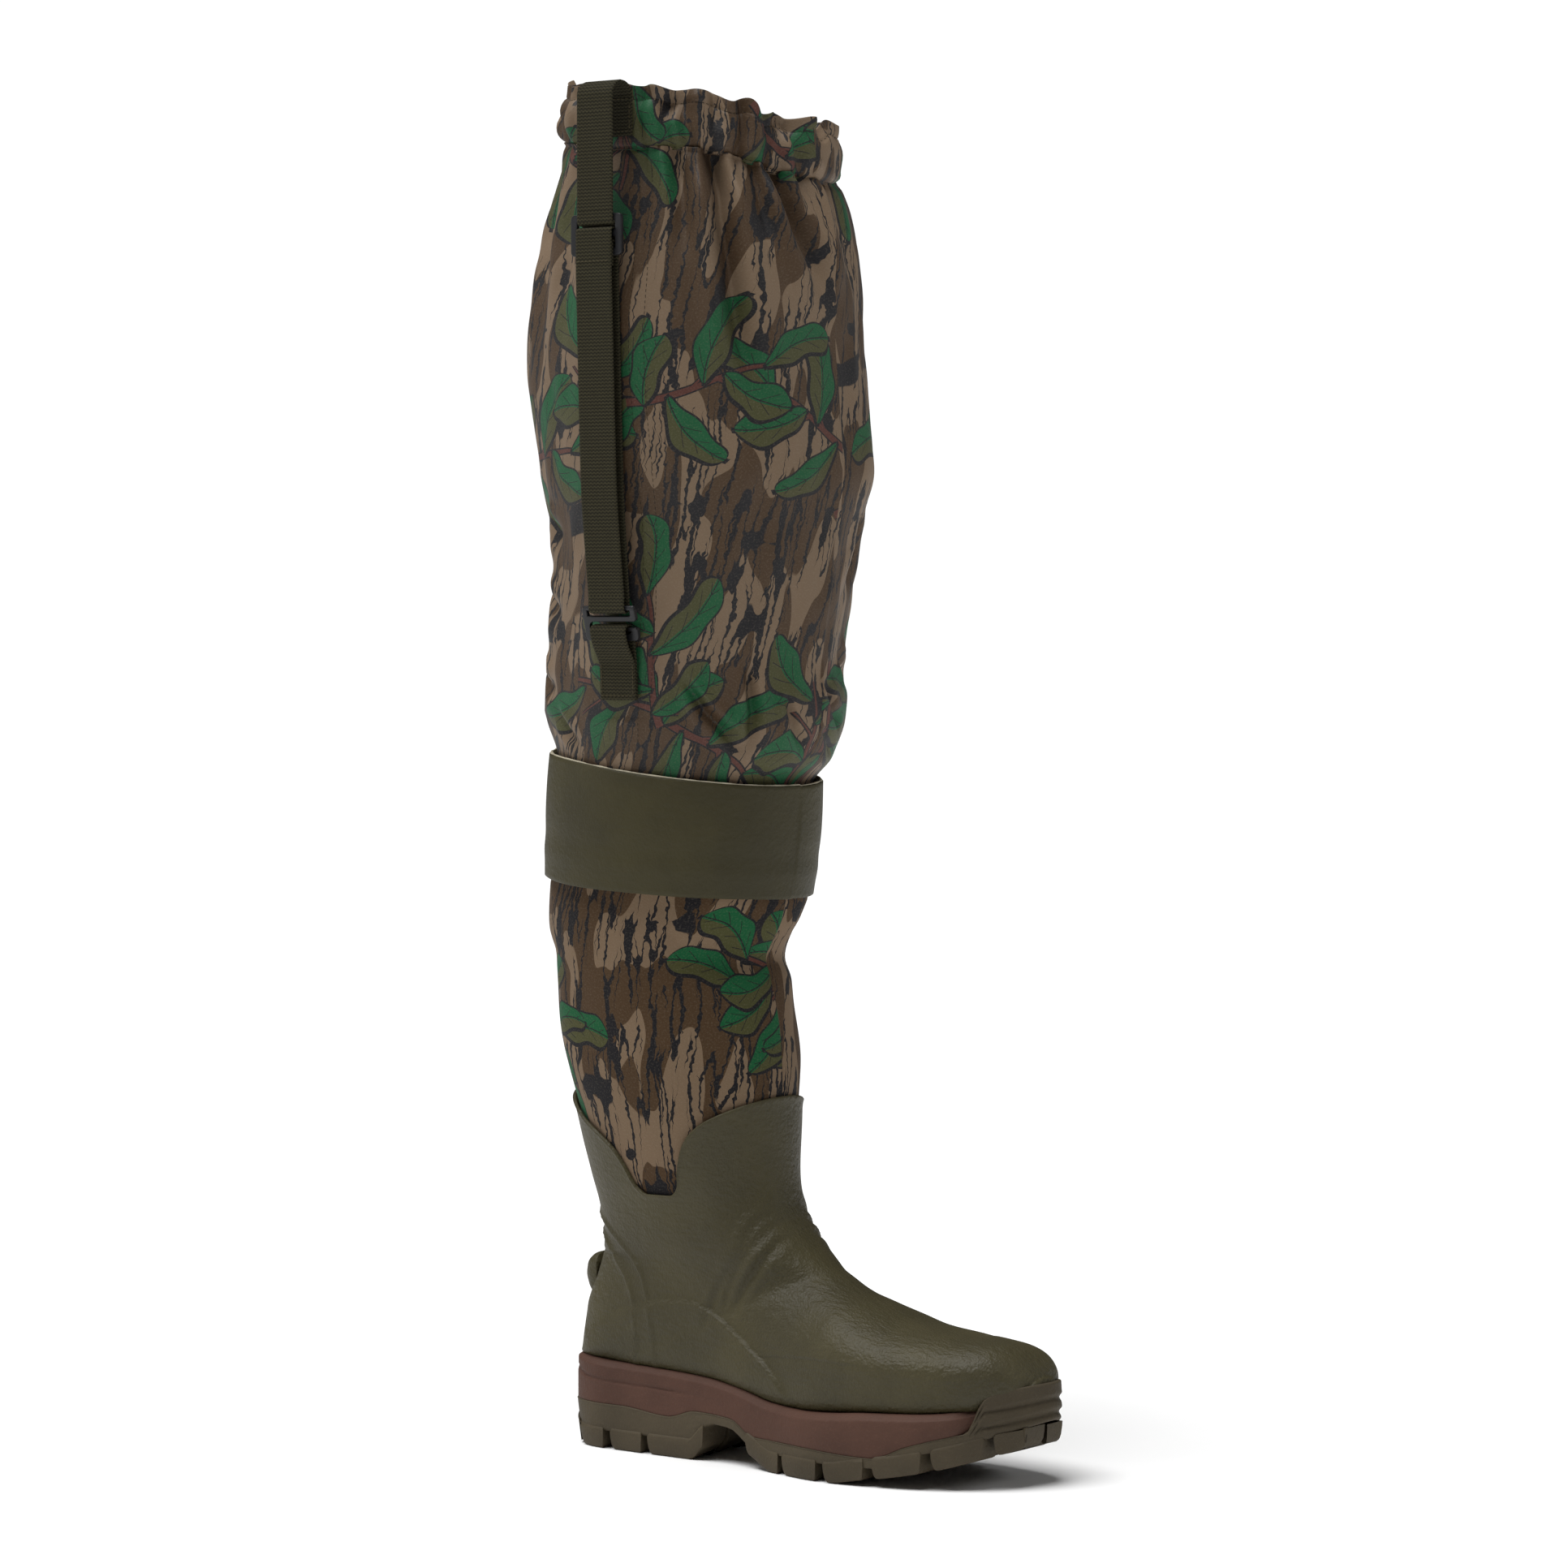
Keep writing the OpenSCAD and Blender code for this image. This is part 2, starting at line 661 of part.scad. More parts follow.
// Web on its way through the slider's upper slot
module slider_weave() {
    pass_z = slider_z + 4.9;
    color(web_olive) {
        web_block(top_y - web_t / 2, top_y + web_t / 2, pass_z, slider_z + 13.1);
        web_block(top_y - web_t / 2, back_y + web_t / 2, pass_z, pass_z + web_t);
        web_block(back_y - web_t / 2, back_y + web_t / 2, slider_z - 16, pass_z + web_t);
    }
}

// Flat hook with a closed upper slot and an open lower slot
module g_hook() {
    slot_w = web_w + 1.6;
    color(charcoal)
        translate([hook_x, hook_y, hook_z])
            rotate([hook_tilt, 0, 0]) {
                translate([-hook_w / 2 + 1, 0, 0])
                    rotate([0, 90, 0])
                        cylinder(h = hook_w - 2, r = bar_r, $fn = 32);
                hook_block(-hook_w / 2, -slot_w / 2 - 2, -19.2, 0);
                hook_block(hook_w / 2 - 3.4, hook_w / 2, -7.8, 0);
                hook_block(-hook_w / 2, hook_w / 2, -7.8, -4.6);
                hook_block(-hook_w / 2, hook_w / 2, -19.2, -15.2);
                hook_block(hook_w / 2 - 4, hook_w / 2, -19.2, -11.4);
                hook_block(hook_w / 2 - 6.5, hook_w / 2 - 2, -13.6, -11.2);
            }
}

module hook_block(x0, x1, z0, z1) {
    translate([x0, -hook_t / 2, z0])
        cube([x1 - x0, hook_t, z1 - z0]);
}

// Web loop sewn to the leg, which holds the hook's lower bar
module lower_tab() {
    color(web_olive)
        difference() {
            across_web([on_hook(-5.3, -9.4), on_hook(3.3, -9.4), on_hook(3.3, -20), [-80.7, 468],
                [-80.1, 447], [-82.6, 447], [-83.4, 468], on_hook(-5.3, -20)], hook_x, web_w);
            across_web([on_hook(-4.1, -10.6), on_hook(2.1, -10.6), on_hook(2.1, -20.5), [-82.5, 473],
                on_hook(-4.1, -20.5)], hook_x, web_w + 2);
        }
}

module tab_stitching() {
    color("olive")
        stitch_rows(hook_x, -83.16, tab_stitch_z, 2, 14, 0.54);
}

outsole();
midsole();
shank();
lasting_board();
insole();
rubber_upper();
heel_counter();
toe_puff();
kick_tab();
foot_lining();
neoprene_shaft();
knee_band();
knee_seam_tape();
knee_front_panel();
knee_back_panel();
leg_front_panel();
leg_back_panel();
seam_tape_lateral();
seam_tape_medial();
hem_casing();
hem_elastic();
strap_top_end();
top_stitching();
strap_top_run();
strap_front_run();
strap_back_run();
hook_wrap();
tri_glide();
slider_wrap();
slider_weave();
g_hook();
lower_tab();
tab_stitching();
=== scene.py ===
"""Thigh-high hip wader: the looks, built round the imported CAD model. Lengths in the tables are in millimetres."""

import math

import bmesh
import bpy
import numpy as np
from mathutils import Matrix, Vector


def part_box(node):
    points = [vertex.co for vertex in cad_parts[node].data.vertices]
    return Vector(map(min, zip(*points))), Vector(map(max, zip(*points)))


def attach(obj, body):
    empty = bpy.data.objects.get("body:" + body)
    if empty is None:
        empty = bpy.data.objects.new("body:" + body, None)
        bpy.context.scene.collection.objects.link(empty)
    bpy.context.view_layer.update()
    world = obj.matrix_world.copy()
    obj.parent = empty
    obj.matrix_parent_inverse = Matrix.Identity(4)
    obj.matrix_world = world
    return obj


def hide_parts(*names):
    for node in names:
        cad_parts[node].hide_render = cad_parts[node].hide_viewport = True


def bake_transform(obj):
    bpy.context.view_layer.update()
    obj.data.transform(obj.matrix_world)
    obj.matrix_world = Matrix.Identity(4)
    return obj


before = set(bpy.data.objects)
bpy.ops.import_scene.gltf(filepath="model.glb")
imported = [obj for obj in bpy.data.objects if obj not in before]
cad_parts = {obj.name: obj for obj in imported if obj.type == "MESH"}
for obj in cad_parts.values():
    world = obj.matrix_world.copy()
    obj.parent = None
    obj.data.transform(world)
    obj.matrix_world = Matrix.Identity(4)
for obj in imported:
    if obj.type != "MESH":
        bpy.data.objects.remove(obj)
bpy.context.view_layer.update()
MM = 0.001

# ---------------------------------------------------------------- camera
AZIMUTH, ELEVATION, DISTANCE = math.radians(36), math.radians(2), 2.9
TARGET = Vector((0.087, 0, 0.397))
away = Vector(
    (
        math.sin(AZIMUTH) * math.cos(ELEVATION),
        -math.cos(AZIMUTH) * math.cos(ELEVATION),
        math.sin(ELEVATION),
    )
)
camera = bpy.data.objects.new("camera", bpy.data.cameras.new("camera"))
camera.data.lens = 113.5
camera.data.sensor_width = 36
camera.data.clip_end = 60
camera.location = TARGET + away * DISTANCE
camera.rotation_euler = (-away).to_track_quat("-Z", "Y").to_euler()
bpy.context.scene.collection.objects.link(camera)
bpy.context.scene.camera = camera

# ---------------------------------------------------------------- tables shared with the CAD
FOOT = np.array(
    [
        [262, 62, 261, 47, 14, 10.5, 3],
        [258.5, 69, 257.5, 46.5, 23, 9.5, 3],
        [252, 76.5, 251, 45.5, 30, 7.5, 3.5],
        [241, 81, 239, 42, 36.5, 5, 4],
        [225, 82, 223, 40, 41.5, 2.5, 5],
        [207, 84.5, 202, 39, 46, 0, 6],
        [187, 87.5, 179, 38, 48.5, -2, 6],
        [169, 93.5, 155, 36, 48, -3, 6],
        [152, 100, 131, 35, 45, -4, 6],
        [147, 102, 107, 36.5, 41.5, -4, 6],
        [143, 104, 82, 42, 39, -3.5, 6],
        [139, 106, 55, 46, 37.5, -2.5, 6],
        [135, 108.5, 27, 47.5, 37, -1.5, 6],
        [132, 110.5, -1, 48.5, 37, -1, 6],
        [129, 112, -28, 49.5, 37, 0, 5],
        [127, 113.5, -50, 54, 37, 0, 4],
        [125, 114.5, -49.5, 80, 37, 0, 3.0],
        [123, 115.5, -43, 100, 37, 0, 2.6],
        [122, 116, -39, 116, 37.5, 0, 2.3],
    ]
)
SHAFT_Z = [116, 130, 150, 163, 201, 239, 277, 295, 315, 345, 372]
SHAFT_X = [41.5, 33.5, 25.5, 22, 17, 12, 6, 3.5, 5, 9, 12]
SHAFT_A = [80.5, 71.5, 67.5, 68, 71.5, 76.4, 75.4, 73.5, 77.4, 79, 79.5]
SHAFT_B = [37.5, 40.5, 44.5, 48, 57, 64.4, 66.4, 67.5, 70.4, 72, 73]
LEG_Z = [373, 395, 415, 432, 466, 505, 543, 581, 619, 657, 695, 733, 763, 795]
LEG_X = [12, 14, 18.5, 20.5, 23.5, 26.5, 28, 27, 24, 22, 24, 24.5, 21.5, 23]
LEG_A = [77, 77.8, 82.5, 86.5, 87, 89.5, 92, 99, 100, 99.5, 96.5, 89.5, 83.5, 83.5]
LEG_B = [70.8, 72, 74.5, 77.5, 81, 83, 85, 91, 92, 92, 90, 83.5, 78.5, 79]
RUBBER_EDGE = np.array(
    [
        [-53, 214], [-28, 198], [-3, 181], [3, 170], [7, 160], [15, 154.5], [31, 154.5],
        [39, 160], [43, 172], [49, 186], [59, 197], [72, 205], [91, 214],
    ]
)
SOLE = np.array(
    [
        [-56, 0], [-49, -25], [-28, -38], [4, -40], [70, -42], [110, -48.5], [140, -56],
        [165, -57.5], [192, -54], [220, -46], [245, -30], [261, -10], [269, 12], [262, 30],
        [244, 42.5], [215, 50], [180, 52], [148, 47.5], [118, 38], [90, 33], [58, 33.5],
        [20, 38], [-28, 38], [-49, 25],
    ]
)
GROUND = np.array(
    [
        [-60, 12], [-53, 6.5], [-45, 2], [-36, 0], [47, 0], [56, 8], [71, 15], [93, 8], [114, 0], [158, 0], [177, 3], [202, 7],
        [225, 12], [242, 17], [257, 22], [272, 28],
    ]
)
SOLE_TOP = np.array(
    [
        [-60, 27], [-5, 27], [31, 24], [51, 29], [78, 27.5], [96, 19], [137, 18.6], [187, 16.7],
        [208, 24.5], [235, 32], [272, 38.7],
    ]
)
BUMPER_TOP = np.array([[240, 33.5], [243, 41], [247, 52], [255, 57], [272, 60]])
GROOVES = [(-41.5, 3), (-14.5, 5), (14.5, 5), (121, 4), (153.5, 5), (185.5, 5), (219.5, 5), (249, 4)]

# Lines moulded into the rubber, seen from the side: x, z
HEEL_RIBS = (
    [(-40, 143), (-25, 134), (-10, 124), (0, 116), (8, 107), (12, 97), (14, 88)],
    [(-44, 134), (-28, 125), (-16, 114), (-5, 104), (0, 95), (3, 86)],
)
HEEL_LOW_RIBS = (
    [(3, 86), (5, 69), (3, 48)],
    [(14, 88), (18, 70), (19, 48)],
)
OVERLAY = [
    (-44, 62), (-29, 70), (-22, 75), (-9, 81), (1, 84), (14, 88), (28, 91), (41, 92), (50, 91),
    (60, 87), (71, 82), (80, 76), (92, 68), (103, 61), (112, 54), (122, 44), (128, 34),
]
ANKLE_CREASES = (
    [(104, 141), (99, 131), (94, 120), (84, 106), (77, 93), (75, 80)],
    [(101, 148), (93, 137), (87, 127), (78, 113), (72, 100), (70, 84)],
    [(97, 157), (91, 146), (86, 139), (80, 124), (70, 109), (63, 96), (58, 86), (56, 72)],
)
VAMP_LINE = [(100, 66), (106, 67), (123, 68), (138, 69), (162, 69), (190, 67)]


# ---------------------------------------------------------------- maths
def smooth(low, high, v):
    f = np.clip((v - low) / (high - low), 0, 1)
    return f * f * (3 - 2 * f)


def root(v, n):
    return np.sign(v) * np.abs(v) ** (2 / n)


def curve(xs, ys):
    """A smooth function through the points, which never overshoots them."""
    x, y = np.asarray(xs, float), np.asarray(ys, float)
    h, slope = np.diff(x), np.diff(y) / np.diff(x)
    m = np.zeros(len(x))
    for i in range(1, len(x) - 1):
        if slope[i - 1] * slope[i] > 0:
            a, b = 2 * h[i] + h[i - 1], h[i] + 2 * h[i - 1]
            m[i] = (a + b) / (a / slope[i - 1] + b / slope[i])
    m[0], m[-1] = slope[0], slope[-1]

    def at(v):
        v = np.clip(np.asarray(v, float), x[0], x[-1])
        i = np.clip(np.searchsorted(x, v) - 1, 0, len(x) - 2)
        f = (v - x[i]) / h[i]
        return (
            y[i] * (1 + 2 * f) * (1 - f) ** 2
            + y[i + 1] * f * f * (3 - 2 * f)
            + h[i] * (m[i] * f * (1 - f) ** 2 + m[i + 1] * f * f * (f - 1))
        )

    return at


def rolling(seed, size, count=24, rough=0.8):
    """Smooth random field over the plane, about -1 to 1. size is the length of its features."""
    rng = np.random.default_rng(seed)
    angle = rng.uniform(0, 2 * math.pi, count)
    reach = rng.uniform(0.5, 1.8, count) * 2 * math.pi / size
    phase = rng.uniform(0, 2 * math.pi, count)
    weight = rng.uniform(0.4, 1, count) ** rough

    def at(u, v):
        total = np.zeros(np.broadcast(u, v).shape)
        for a, k, p, w in zip(angle, reach, phase, weight):
            total += w * np.cos(k * (math.cos(a) * u + math.sin(a) * v) + p)
        return total / np.sqrt((weight**2).sum())

    return at


def line_distance(u, v, points):
    """Distance to a polyline, which side of it, and how far along it, 0 to 1."""
    best = np.full(np.shape(u), 1e9)
    side = np.ones(np.shape(u))
    along = np.zeros(np.shape(u))
    p = np.asarray(points, float)
    lengths = np.hypot(*np.diff(p, axis=0).T)
    done = 0.0
    for a, b, length in zip(p[:-1], p[1:], lengths):
        d = (b - a) / length
        f = np.clip(((u - a[0]) * d[0] + (v - a[1]) * d[1]), 0, length)
        x, y = u - a[0] - d[0] * f, v - a[1] - d[1] * f
        r = np.hypot(x, y)
        near = r < best
        best = np.where(near, r, best)
        side = np.where(near, np.sign(d[0] * y - d[1] * x), side)
        along = np.where(near, (done + f) / lengths.sum(), along)
        done += length
    return best, side, along


def closed_curve(points, steps):
    p = np.asarray(points, float)
    n = len(p)
    out = []
    for i in range(n):
        a, b, c, d = p[i - 1], p[i], p[(i + 1) % n], p[(i + 2) % n]
        for f in np.arange(steps) / steps:
            out.append(
                0.5
                * (2 * b + (c - a) * f + (2 * a - 5 * b + 4 * c - d) * f**2 + (3 * b - a - 3 * c + d) * f**3)
            )
    return np.array(out)


def evenly(points, count):
    """count points at equal distances along an open line."""
    p = np.asarray(points, float)
    s = np.concatenate([[0], np.cumsum(np.linalg.norm(np.diff(p, axis=0), axis=1))])
    at = np.linspace(0, s[-1], count)
    return np.stack([np.interp(at, s, p[:, k]) for k in range(p.shape[1])], axis=1)


def outward(grid):
    """Normals of a grid of closed rows, pointing away from the middle of each row."""
    du = np.roll(grid, -1, 1) - np.roll(grid, 1, 1)
    dv = np.gradient(grid, axis=0)
    n = np.cross(du, dv)
    n /= np.maximum(np.linalg.norm(n, axis=2, keepdims=True), 1e-9)
    middle = grid.mean(axis=1, keepdims=True)
    turn = np.sign(((grid - middle) * n).sum(axis=(1, 2)))
    turn = np.where(turn == 0, 1, turn)
    return n * turn[:, None, None]


# ---------------------------------------------------------------- meshes
def link(name, mesh, materials, smooth_faces=True):
    obj = bpy.data.objects.new(name, mesh)
    bpy.context.scene.collection.objects.link(obj)
    for m in materials if isinstance(materials, (list, tuple)) else [materials]:
        mesh.materials.append(m)
    if smooth_faces:
        mesh.polygons.foreach_set("use_smooth", [True] * len(mesh.polygons))
    return obj


def outward_faces(mesh):
    bm = bmesh.new()
    bm.from_mesh(mesh)
    bmesh.ops.recalc_face_normals(bm, faces=bm.faces)
    bm.to_mesh(mesh)
    bm.free()


def rings(name, rows, materials, join=False, cap=True, uv=None, paint=None):
    """A solid from closed rows of points in millimetres. join: the last row meets the first one. uv: metres, one column more than the points. paint: material index of each band of faces."""
    grid = np.asarray(rows, float)
    r, c = grid.shape[:2]
    index = np.arange(r * c).reshape(r, c)
    below = np.concatenate([index, index[:1]]) if join else index
    a, b = below[:-1], np.roll(below[:-1], -1, 1)
    d, e = below[1:], np.roll(below[1:], -1, 1)
    faces = np.stack([a, b, e, d], axis=-1).reshape(-1, 4).tolist()
    bands = len(below) - 1
    if cap and not join:
        faces += [index[0].tolist()[::-1], index[-1].tolist()]
    mesh = bpy.data.meshes.new(name)
    mesh.from_pydata((grid.reshape(-1, 3) * MM).tolist(), [], faces)
    if uv is not None:
        u = np.concatenate([uv, uv[:1]]) if join else uv
        corners = np.stack([u[:-1, :-1], u[:-1, 1:], u[1:, 1:], u[1:, :-1]], axis=2)[:bands]
        layer = mesh.uv_layers.new(name="cloth")
        flat = np.zeros((len(mesh.loops), 2))
        quads = corners.reshape(-1, 2)
        flat[: len(quads)] = quads
        layer.data.foreach_set("uv", flat.ravel())
    if paint is not None:
        index_of = np.repeat(paint, c)
        full = np.zeros(len(mesh.polygons), int)
        full[: len(index_of)] = index_of
        mesh.polygons.foreach_set("material_index", full.tolist())
    outward_faces(mesh)
    return link(name, mesh, materials)


def shell(name, outer, thickness, materials, uv=None, lip=(0.35, 0.3), inner_step=1, outer_index=0, inner_index=0):
    """A wall of even thickness behind a grid of closed rows, with rounded edges."""
    n = outward(outer)
    inner = (outer - n * thickness)[::inner_step]
    if (len(outer) - 1) % inner_step:
        inner = np.concatenate([inner, (outer - n * thickness)[-1:]])
    up = outer[-1] - outer[-2]
    up /= np.maximum(np.linalg.norm(up, axis=1, keepdims=True), 1e-9)
    down = outer[0] - outer[1]
    down /= np.maximum(np.linalg.norm(down, axis=1, keepdims=True), 1e-9)
    top = [outer[-1] - n[-1] * thickness * f + up * lip[0] for f in (0.25, 0.75)]
    bottom = [outer[0] - n[0] * thickness * f + down * lip[1] for f in (0.75, 0.25)]
    rows = np.concatenate([outer, top, inner[::-1], bottom])
    if uv is not None:
        inside = uv[::inner_step]
        if (len(outer) - 1) % inner_step:
            inside = np.concatenate([inside, uv[-1:]])
        uv = np.concatenate([uv, uv[-1:], uv[-1:], inside[::-1], uv[:1], uv[:1]])
    paint = np.full(len(rows), outer_index)
    paint[len(outer) + 1 : len(outer) + 1 + len(inner)] = inner_index
    return rings(name, rows, materials, join=True, uv=uv, paint=paint)


def solid(name, parts, materials, smooth_faces=True):
    """One mesh from closed parts, each a list of points in millimetres and a list of faces."""
    points, faces = [], []
    for p, f in parts:
        start = len(points)
        points += [tuple(float(v) * MM for v in q) for q in p]
        faces += [[i + start for i in face] for face in f]
    mesh = bpy.data.meshes.new(name)
    mesh.from_pydata(points, [], faces)
    outward_faces(mesh)
    return link(name, mesh, materials, smooth_faces)


def loft(loops):
    """A closed part from loops of points, with a flat face at each end."""
    c = len(loops[0])
    points = [p for loop in loops for p in loop]
    faces = []
    for k in range(len(loops) - 1):
        for j in range(c):
            faces.append([k * c + j, k * c + (j + 1) % c, (k + 1) * c + (j + 1) % c, (k + 1) * c + j])
    last = (len(loops) - 1) * c
    faces += [list(range(c))[::-1], [last + j for j in range(c)]]
    return points, faces


# ---------------------------------------------------------------- shader kit
def linear(r, g, b):
    def one(v):
        v /= 255
        return v / 12.92 if v <= 0.04045 else ((v + 0.055) / 1.055) ** 2.4

    return (one(r), one(g), one(b), 1)


class Num:
    """A number that a material works out at each point."""

    def __init__(self, tree, out):
        self.tree, self.out = tree, out

    def put(self, op, *values, clamp=False):
        n = self.tree.nodes.new("ShaderNodeMath")
        n.operation, n.use_clamp = op, clamp
        for socket, v in zip(n.inputs, values):
            if isinstance(v, Num):
                self.tree.links.new(v.out, socket)
            else:
                socket.default_value = v
        return Num(self.tree, n.outputs[0])

    def __add__(self, o):
        return self.put("ADD", self, o)

    def __radd__(self, o):
        return self.put("ADD", o, self)

    def __sub__(self, o):
        return self.put("SUBTRACT", self, o)

    def __rsub__(self, o):
        return self.put("SUBTRACT", o, self)

    def __mul__(self, o):
        return self.put("MULTIPLY", self, o)

    def __rmul__(self, o):
        return self.put("MULTIPLY", o, self)

    def __truediv__(self, o):
        return self.put("DIVIDE", self, o)

    def __abs__(self):
        return self.put("ABSOLUTE", self)

    def __pow__(self, o):
        return self.put("POWER", self, o)

    def sin(self):
        return self.put("SINE", self)

    def cos(self):
        return self.put("COSINE", self)

    def fract(self):
        return self.put("FRACT", self)

    def below(self, o):
        return self.put("LESS_THAN", self, o)

    def above(self, o):
        return self.put("GREATER_THAN", self, o)

    def most(self, o):
        return self.put("MAXIMUM", self, o)

    def least(self, o):
        return self.put("MINIMUM", self, o)

    def step(self, low, high):
        n = self.tree.nodes.new("ShaderNodeMapRange")
        n.interpolation_type = "SMOOTHSTEP"
        self.tree.links.new(self.out, n.inputs["Value"])
        n.inputs["From Min"].default_value = low
        n.inputs["From Max"].default_value = high
        return Num(self.tree, n.outputs["Result"])


class Paint:
    """A material's node tree, with the few nodes used here."""

    def __init__(self, name, rough=0.6, spec=0.4, sheen=0.0, metal=0.0, coat=0.0):
        self.mat = bpy.data.materials.new(name)
        self.mat.use_nodes = True
        self.tree = self.mat.node_tree
        self.bsdf = self.tree.nodes["Principled BSDF"]
        self.bsdf.inputs["Roughness"].default_value = rough
        self.bsdf.inputs["Specular IOR Level"].default_value = spec
        self.bsdf.inputs["Sheen Weight"].default_value = sheen
        self.bsdf.inputs["Sheen Roughness"].default_value = 0.5
        self.bsdf.inputs["Metallic"].default_value = metal
        self.bsdf.inputs["Coat Weight"].default_value = coat
        self.place = None

    def add(self, kind, out=0, **sockets):
        n = self.tree.nodes.new(kind)
        for key, v in sockets.items():
            socket = n.inputs[key.replace("_", " ")]
            if isinstance(v, Num):
                self.tree.links.new(v.out, socket)
            elif hasattr(v, "is_output"):
                self.tree.links.new(v, socket)
            else:
                socket.default_value = v
        return n, n.outputs[out]

    def where(self):
        """The point's own x, y, z in millimetres."""
        if self.place is None:
            _, out = self.add("ShaderNodeTexCoord", "Object")
            self.place = self.split(out)
        return self.place

    def split(self, vector, scale=1000.0):
        n, _ = self.add("ShaderNodeSeparateXYZ", Vector=vector)
        return [Num(self.tree, o) * scale for o in n.outputs]

    def cloth(self):
        """Across and up the cloth in millimetres."""
        n, out = self.add("ShaderNodeUVMap")
        n.uv_map = "cloth"
        return self.split(out)[:2]

    def vec(self, x, y, z=0.0):
        return self.add("ShaderNodeCombineXYZ", X=x, Y=y, Z=z)[1]

    def noise(self, vector, scale=1.0, detail=2.0, rough=0.5, color=False):
        _, out = self.add(
            "ShaderNodeTexNoise", "Color" if color else 0, Vector=vector, Scale=scale, Detail=detail, Roughness=rough
        )
        return self.split(out, 1.0) if color else Num(self.tree, out)

    def cells(self, vector, feature="F1", randomness=1.0, out="Distance", flat=False):
        n = self.tree.nodes.new("ShaderNodeTexVoronoi")
        n.feature = feature
        n.voronoi_dimensions = "2D" if flat else "3D"
        self.tree.links.new(vector, n.inputs["Vector"])
        n.inputs["Scale"].default_value = 1.0
        n.inputs["Randomness"].default_value = randomness
        return n.outputs if out == "all" else Num(self.tree, n.outputs[out])

    def mix(self, fac, a, b):
        n = self.tree.nodes.new("ShaderNodeMix")
        n.data_type = "RGBA"
        for i, v in ((0, fac), (6, a), (7, b)):
            if isinstance(v, Num):
                self.tree.links.new(v.out, n.inputs[i])
            elif hasattr(v, "is_output"):
                self.tree.links.new(v, n.inputs[i])
            else:
                n.inputs[i].default_value = v
        return n.outputs[2]

    def colour(self, socket):
        self.tree.links.new(socket, self.bsdf.inputs["Base Color"])

    def roughness(self, num):
        self.tree.links.new(num.out, self.bsdf.inputs["Roughness"])

    def bump(self, height, depth, strength=1.0):
        """height is 0 to 1 and depth its size in metres."""
        n, out = self.add("ShaderNodeBump", Height=height, Distance=depth, Strength=strength)
        if self.bsdf.inputs["Normal"].is_linked:
            self.tree.links.new(self.bsdf.inputs["Normal"].links[0].from_socket, n.inputs["Normal"])
        self.tree.links.new(out, self.bsdf.inputs["Normal"])


# ---------------------------------------------------------------- materials
TAN, BARK_BROWN, BARK_DARK = linear(115, 96, 76), linear(70, 52, 34), linear(25, 24, 27)
GREEN, LEAF_OLIVE, TWIG = linear(16, 80, 46), linear(67, 67, 38), linear(82, 47, 39)


def leaf(p, x, y, length, width, bend, phase):
    """Masks of one lobed leaf from its stem at the origin along +x: outline, whole, dark lines, bright half."""
    along = x * (1 / length)
    mid = y - bend * (along * (1 - along)) * 4
    arc = (along * (1 - along) * (along * 0.9 + 0.55) * 4).most(0.0)
    half = arc**0.6 * width * (1 + 0.17 * (along * 10 + phase).sin())
    inside = half - abs(mid)
    within = along.above(0.0) * along.below(1.0)
    cast = (inside + mid.below(0.0) * 1.3).step(-1.25, -0.95) * along.above(-0.03) * along.below(1.04)
    rib = 1 - abs(mid).step(0.25, 0.5)
    ribs = (along * 4.2 - abs(mid) * 0.13).fract()
    veins = (1 - abs(ribs - 0.5).step(0.015, 0.05)) * inside.above(width * 0.3)
    return cast, inside.step(-0.1, 0.2) * within, rib.most(veins), (mid + 0.12 * width).above(0.0)


def sprigs(p, x, y, cell, shift, base, shapes, share):
    """Twigs with leaves, scattered one to a cell, painted over the colour base."""
    grid = p.vec(x * (1 / cell) + shift, y * (1 / cell) + shift * 1.7)
    outs = p.cells(grid, randomness=0.3, out="all", flat=True)
    centre = p.split(outs["Position"], cell)
    seed = p.split(outs["Color"], 1.0)
    px, py = x + shift * cell - centre[0], y + shift * 1.7 * cell - centre[1]
    turn = (seed[0] - 0.5) * 2.6 + 0.75
    c, s = turn.cos(), turn.sin()
    flip = seed[1].above(0.5) * 2 - 1
    shown = seed[2].below(share)
    u = (px * c + py * s) * flip + 14
    v = py * c - px * s
    colour = base
    twigs = abs(v - (u * 0.05).sin() * 4) - (1.75 - u * 0.018) + (u.below(-46.0) + u.above(40.0)) * 50
    for ax, ay, slope, reach in ((-10, -2, 0.75, 26), (4, 2, -0.7, 24)):
        q = u - ax
        side = abs(v - ay - q * slope) - (1.1 - q * 0.02) + (q.below(0.0) + q.above(float(reach))) * 50
        twigs = twigs.least(side)
    colour = p.mix((1 - twigs.step(0.5, 0.9)) * shown, colour, BARK_DARK)
    colour = p.mix((1 - twigs.step(-0.35, -0.05)) * shown, colour, TWIG)
    for ax, ay, angle, length, half, bend in shapes:
        qx, qy = u - ax, v - ay
        lx = qx * math.cos(angle) + qy * math.sin(angle)
        ly = qy * math.cos(angle) - qx * math.sin(angle)
        cast, whole, dark, bright = leaf(p, lx, ly, length, half, bend, ax * 0.7)
        fill = p.mix(bright, LEAF_OLIVE, GREEN)
        fill = p.mix(dark, fill, BARK_DARK)
        colour = p.mix(cast * shown, colour, BARK_DARK)
        colour = p.mix(whole * shown, colour, fill)
    return colour


